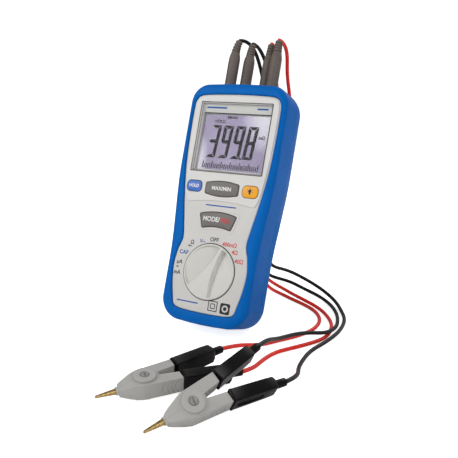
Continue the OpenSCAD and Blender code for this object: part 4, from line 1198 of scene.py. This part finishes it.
def clip_tip(colour, kind):
    """Half of the gold tip: a cast half cone with a few shallow rings and a blunt end."""
    base, reach, steps = -21.0, 37.9, 40
    rings = []
    for k in range(steps + 1):
        f = k / steps
        r = 2.45 - 1.5 * f + 0.09 * math.sin(k * 1.9) * (1 - f)
        rings.append(half_ring(base - (reach + base) * f, min(r, 0.6 + 3.2 * (1 - f) ** 0.5), 20))
    tip = rings_mesh(f"{colour}_{kind}_tip", rings, arm_frame(colour, kind), mat_gold)
    node = f"{colour}_clip_contacts_{kind}"
    finish(tip, owner(node), [node], sharp=45)


def clip_boot(colour, kind):
    """Soft boot with a lip round its mouth, flat walls, a bevelled end and a round sleeve."""
    place = handle_frame(colour, kind)
    f, e = BOOT_FRONT, BOOT_END
    # Place along the handle, half width, half height and corner radius
    sections = [(f + 0.9, 4.6, 6.3, 1.2), (f, 4.7, 6.4, 1.2), (f, 5.2, 6.9, 1.4),
                (f + 0.3, 5.45, 7.15, 1.5), (f + 1.4, 5.45, 7.15, 1.5), (f + 1.8, 5.2, 6.9, 1.1),
                (f + 14, 5.1, 6.7, 1.0),
                (f + 28, 4.95, 6.4, 1.0), (e - 2.6, 4.8, 6.1, 1.0), (e - 2.0, 4.65, 5.9, 1.1),
                (e - 0.2, 3.7, 4.6, 1.6), (e, 3.5, 4.1, 2.2), (e + 0.2, 3.2, 3.25, 3.1),
                (e + 4.2, 3.2, 3.2, 3.1), (e + 8.4, 3.1, 3.1, 3.0), (e + 8.8, 2.9, 2.9, 2.8),
                (e + 8.9, 2.5, 2.5, 2.4), (e + 8.9, 2.0, 2.0, 1.9), (e + 7.5, 1.9, 1.9, 1.8)]
    rings = [[Vector((u, p.x, p.y)) for p in round_rect(2 * w, 2 * h, r, 6)] for u, w, h, r in sections]
    boot = rings_mesh(f"{colour}_{kind}_boot", rings, place, mat_boot)
    # Long shallow recess in the outer wall
    recess = plate_mesh("recess", [round_rect(22, 6.4, 3.1)], 0, 3, 0.4)
    recess.transform(Matrix.Translation((f + 15, 4.25, 0)) @ Matrix.Rotation(-math.pi / 2, 4, "X"))
    combine(boot, [placed("recess", recess, place)])
    node = f"{colour}_clip_{kind}_boot"
    finish(boot, owner(node), [node], sharp=34, bevel=0.35 * MM)


def clip_pivot(colour):
    """Round caps on both sides of the pivot, and the slotted screw."""
    place = clip_frame(colour)
    top = [(3.3, 6.6), (8.2, 6.6), (8.5, 6.85), (8.5, 7.9), (8.35, 8.3), (8.05, 8.52), (7.6, 8.6),
           (4.1, 8.6), (3.85, 8.5), (3.7, 8.25), (3.65, 7.7), (3.3, 7.6)]
    bottom = [(2.7, -7.4), (7.0, -7.4), (7.35, -7.25), (7.5, -6.95), (7.5, -6.6), (2.7, -6.6)]
    discs = [lathe("cap_top", top, place, mat_clip, sides=72), lathe("cap_low", bottom, place, mat_clip)]
    caps = joined(colour + "_pivot_caps", discs)
    head = [(2.5, -6.5), (2.5, 6.9), (2.9, 6.9), (3.15, 7.1), (3.15, 8.1), (3.0, 8.45), (2.6, 8.65),
            (1.5, 8.8), (0.3, 8.84)]
    screw = lathe(colour + "_pivot_pin", head, place, mat_screw, sides=48)
    slot = plate_mesh("slot", [round_rect(6.8, 0.7, 0.2)], 8.0, 9.4, 0.05)
    slot.transform(Matrix.Rotation(math.radians(82), 4, "Z"))
    combine(screw, [placed("slot", slot, place)])
    for piece, node in ((caps, colour + "_clip_pivot_caps"), (screw, colour + "_clip_pivot_screw")):
        finish(piece, owner(node), [node], sharp=40)


for clip_colour in CLIP_TURNS:
    for clip_side in ("fixed", "moving"):
        clip_arm(clip_colour, clip_side)
        clip_tip(clip_colour, clip_side)
        clip_boot(clip_colour, clip_side)
    clip_pivot(clip_colour)

# ---------- tilt stand ----------

STAND_FOLD, STAND_LEAN, STAND_HALF_W = 34, 14, 16.0


def stand():
    """Flat frame with a window, round bars at its hinge and its foot, and a pin through the hinge."""
    hinge = Vector(JOINTS["stand_fold"]["pos_m"])
    lean_back = METER.to_3x3().normalized().to_4x4()
    place = (Matrix.Translation(hinge) @ lean_back
             @ Matrix.Rotation(math.radians(STAND_FOLD), 4, "X") @ TO_MM)
    drop = (hinge.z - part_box("tilt_stand")[0].z) / MM
    length = drop / math.cos(math.radians(STAND_LEAN)) - 1.85
    outline = shifted(round_rect(2 * STAND_HALF_W, length + 3.4, 3.0), 0, -length / 2)
    window = shifted(round_rect(2 * STAND_HALF_W - 12, length - 17.4, 4.0), 0, (10.6 - length) / 2)
    bars = [placed("stand_plate", plate_mesh("stand_plate", [outline, window], -1.8, 1.8, 0.9, 4), place,
                   mat_stand)]
    for y, r, half in ((0, 2.1, STAND_HALF_W), (0, 1.6, STAND_HALF_W + 3.5),
                       (-length, 1.8, STAND_HALF_W - 0.3)):
        bars.append(tube("bar", [(-half + half * k / 8, y, 0) for k in range(17)],
                         lambda f, r=r: r * (1 - 0.12 * (2 * f - 1) ** 16), place, mat_stand, sides=28))
    finish(joined("stand_frame", bars), "stand", ["tilt_stand"], sharp=40)


stand()

# ---------- finishes of the pieces that the CAD shapes show ----------


def dress(mat, *names):
    for name in names:
        obj = frame["nodes"][name]
        if not obj.material_slots:
            obj.data.materials.append(mat)
        for s in obj.material_slots:
            s.material = mat


dress(mat_dark, "rear_case", "battery_door")
dress(mat_inner_white, "lcd_holder", "lcd_backlight", "selector_rotor", "detent_carrier")
dress(mat_inner_rubber, "keypad_mat", "lcd_zebra_strips")
dress(mat_inner_black, "board_components", "buzzer", "socket_block", "battery_snap")
dress(mat_board, "main_board")
dress(mat_battery, "battery")
dress(mat_fuse, "fuses")
dress(mat_brass_cad, "wiper_contacts", "socket_sleeves", "plug_pins")
dress(mat_steel_cad, "case_screws", "battery_door_screw", "knob_retaining_ring", "detent_balls",
      "detent_springs", "fuse_clips", "red_clip_spring", "black_clip_spring")

# ---------- floor, light and camera ----------


def floor_material():
    """Pale floor, a little brighter to the camera than its light gives."""
    s = Shader("pale_floor")
    pale = s.ramp(s.noise(s.coords(), 3, 2), (0.3, (0.88, 0.88, 0.885)), (0.7, (0.92, 0.92, 0.92)))
    seen = s.add("LightPath").outputs["Is Camera Ray"]
    s.feed(s.bsdf, {"Base Color": pale, "Roughness": 0.9, "Emission Color": (1, 1, 1, 1),
                    "Emission Strength": s.maths("MULTIPLY", seen, 0.8)})
    return s.material


def stage():
    """Floor that curves up into a wall behind the set."""
    half, back, rise, bend = 6.0, 2.2, 3.0, 0.8
    rows = [(-half, 0), (back, 0)]
    for k in range(1, 9):
        a = math.radians(90 * k / 8)
        rows.append((back + bend * math.sin(a), bend * (1 - math.cos(a))))
    rows.append((back + bend, rise))
    mesh = bpy.data.meshes.new("floor")
    faces = [(2 * i, 2 * i + 1, 2 * i + 3, 2 * i + 2) for i in range(len(rows) - 1)]
    mesh.from_pydata([(x, y, z) for y, z in rows for x in (-half, half)], [], faces)
    for p in mesh.polygons:
        p.use_smooth = True
    placed("floor", mesh, Matrix.Identity(4), floor_material())


def area_light(name, place, aim, size, power):
    data = bpy.data.lights.new(name, "AREA")
    data.shape = "DISK"
    data.size = size
    data.energy = power
    obj = bpy.data.objects.new(name, data)
    obj.location = place
    obj.rotation_euler = (Vector(aim) - Vector(place)).to_track_quat("-Z", "Y").to_euler()
    bpy.context.collection.objects.link(obj)


AZIMUTH, ELEVATION, DISTANCE = 27.49, 14.26, 0.5938
ROLL, SHIFT_PIXELS = 0.5, 1.2
TARGET = SET @ Vector((2.64, 0, 91.9))
FOCAL_PIXELS, IMAGE_PIXELS, SENSOR = 650.0, 458.0, 36.0


def camera():
    az, el = math.radians(AZIMUTH), math.radians(ELEVATION)
    back = Vector((math.sin(az) * math.cos(el), -math.cos(az) * math.cos(el), math.sin(el)))
    data = bpy.data.cameras.new("camera")
    data.sensor_fit = "HORIZONTAL"
    data.sensor_width = SENSOR
    data.lens = SENSOR * FOCAL_PIXELS / IMAGE_PIXELS
    data.clip_start = 0.01
    obj = bpy.data.objects.new("camera", data)
    obj.location = TARGET + back * DISTANCE
    obj.rotation_euler = (back.to_track_quat("Z", "Y").to_matrix()
                          @ Matrix.Rotation(math.radians(ROLL), 3, "Z")).to_euler()
    data.shift_x = SHIFT_PIXELS / IMAGE_PIXELS
    bpy.context.collection.objects.link(obj)
    bpy.context.scene.camera = obj


stage()
area_light("key", (-0.7, -0.95, 0.85), (0, 0, 0.1), 0.8, 7.1)
area_light("fill", (0.95, -0.7, 0.75), (0, 0, 0.1), 1.0, 4.2)
area_light("rim", (0.3, 0.9, 0.9), (0, 0, 0.12), 0.8, 4)
world = bpy.data.worlds.new("studio")
world.use_nodes = True
background = world.node_tree.nodes["Background"].inputs
background["Color"].default_value = (1, 1, 1, 1)
background["Strength"].default_value = 0.36
bpy.context.scene.world = world
bpy.context.scene.view_settings.view_transform = "Standard"
camera()
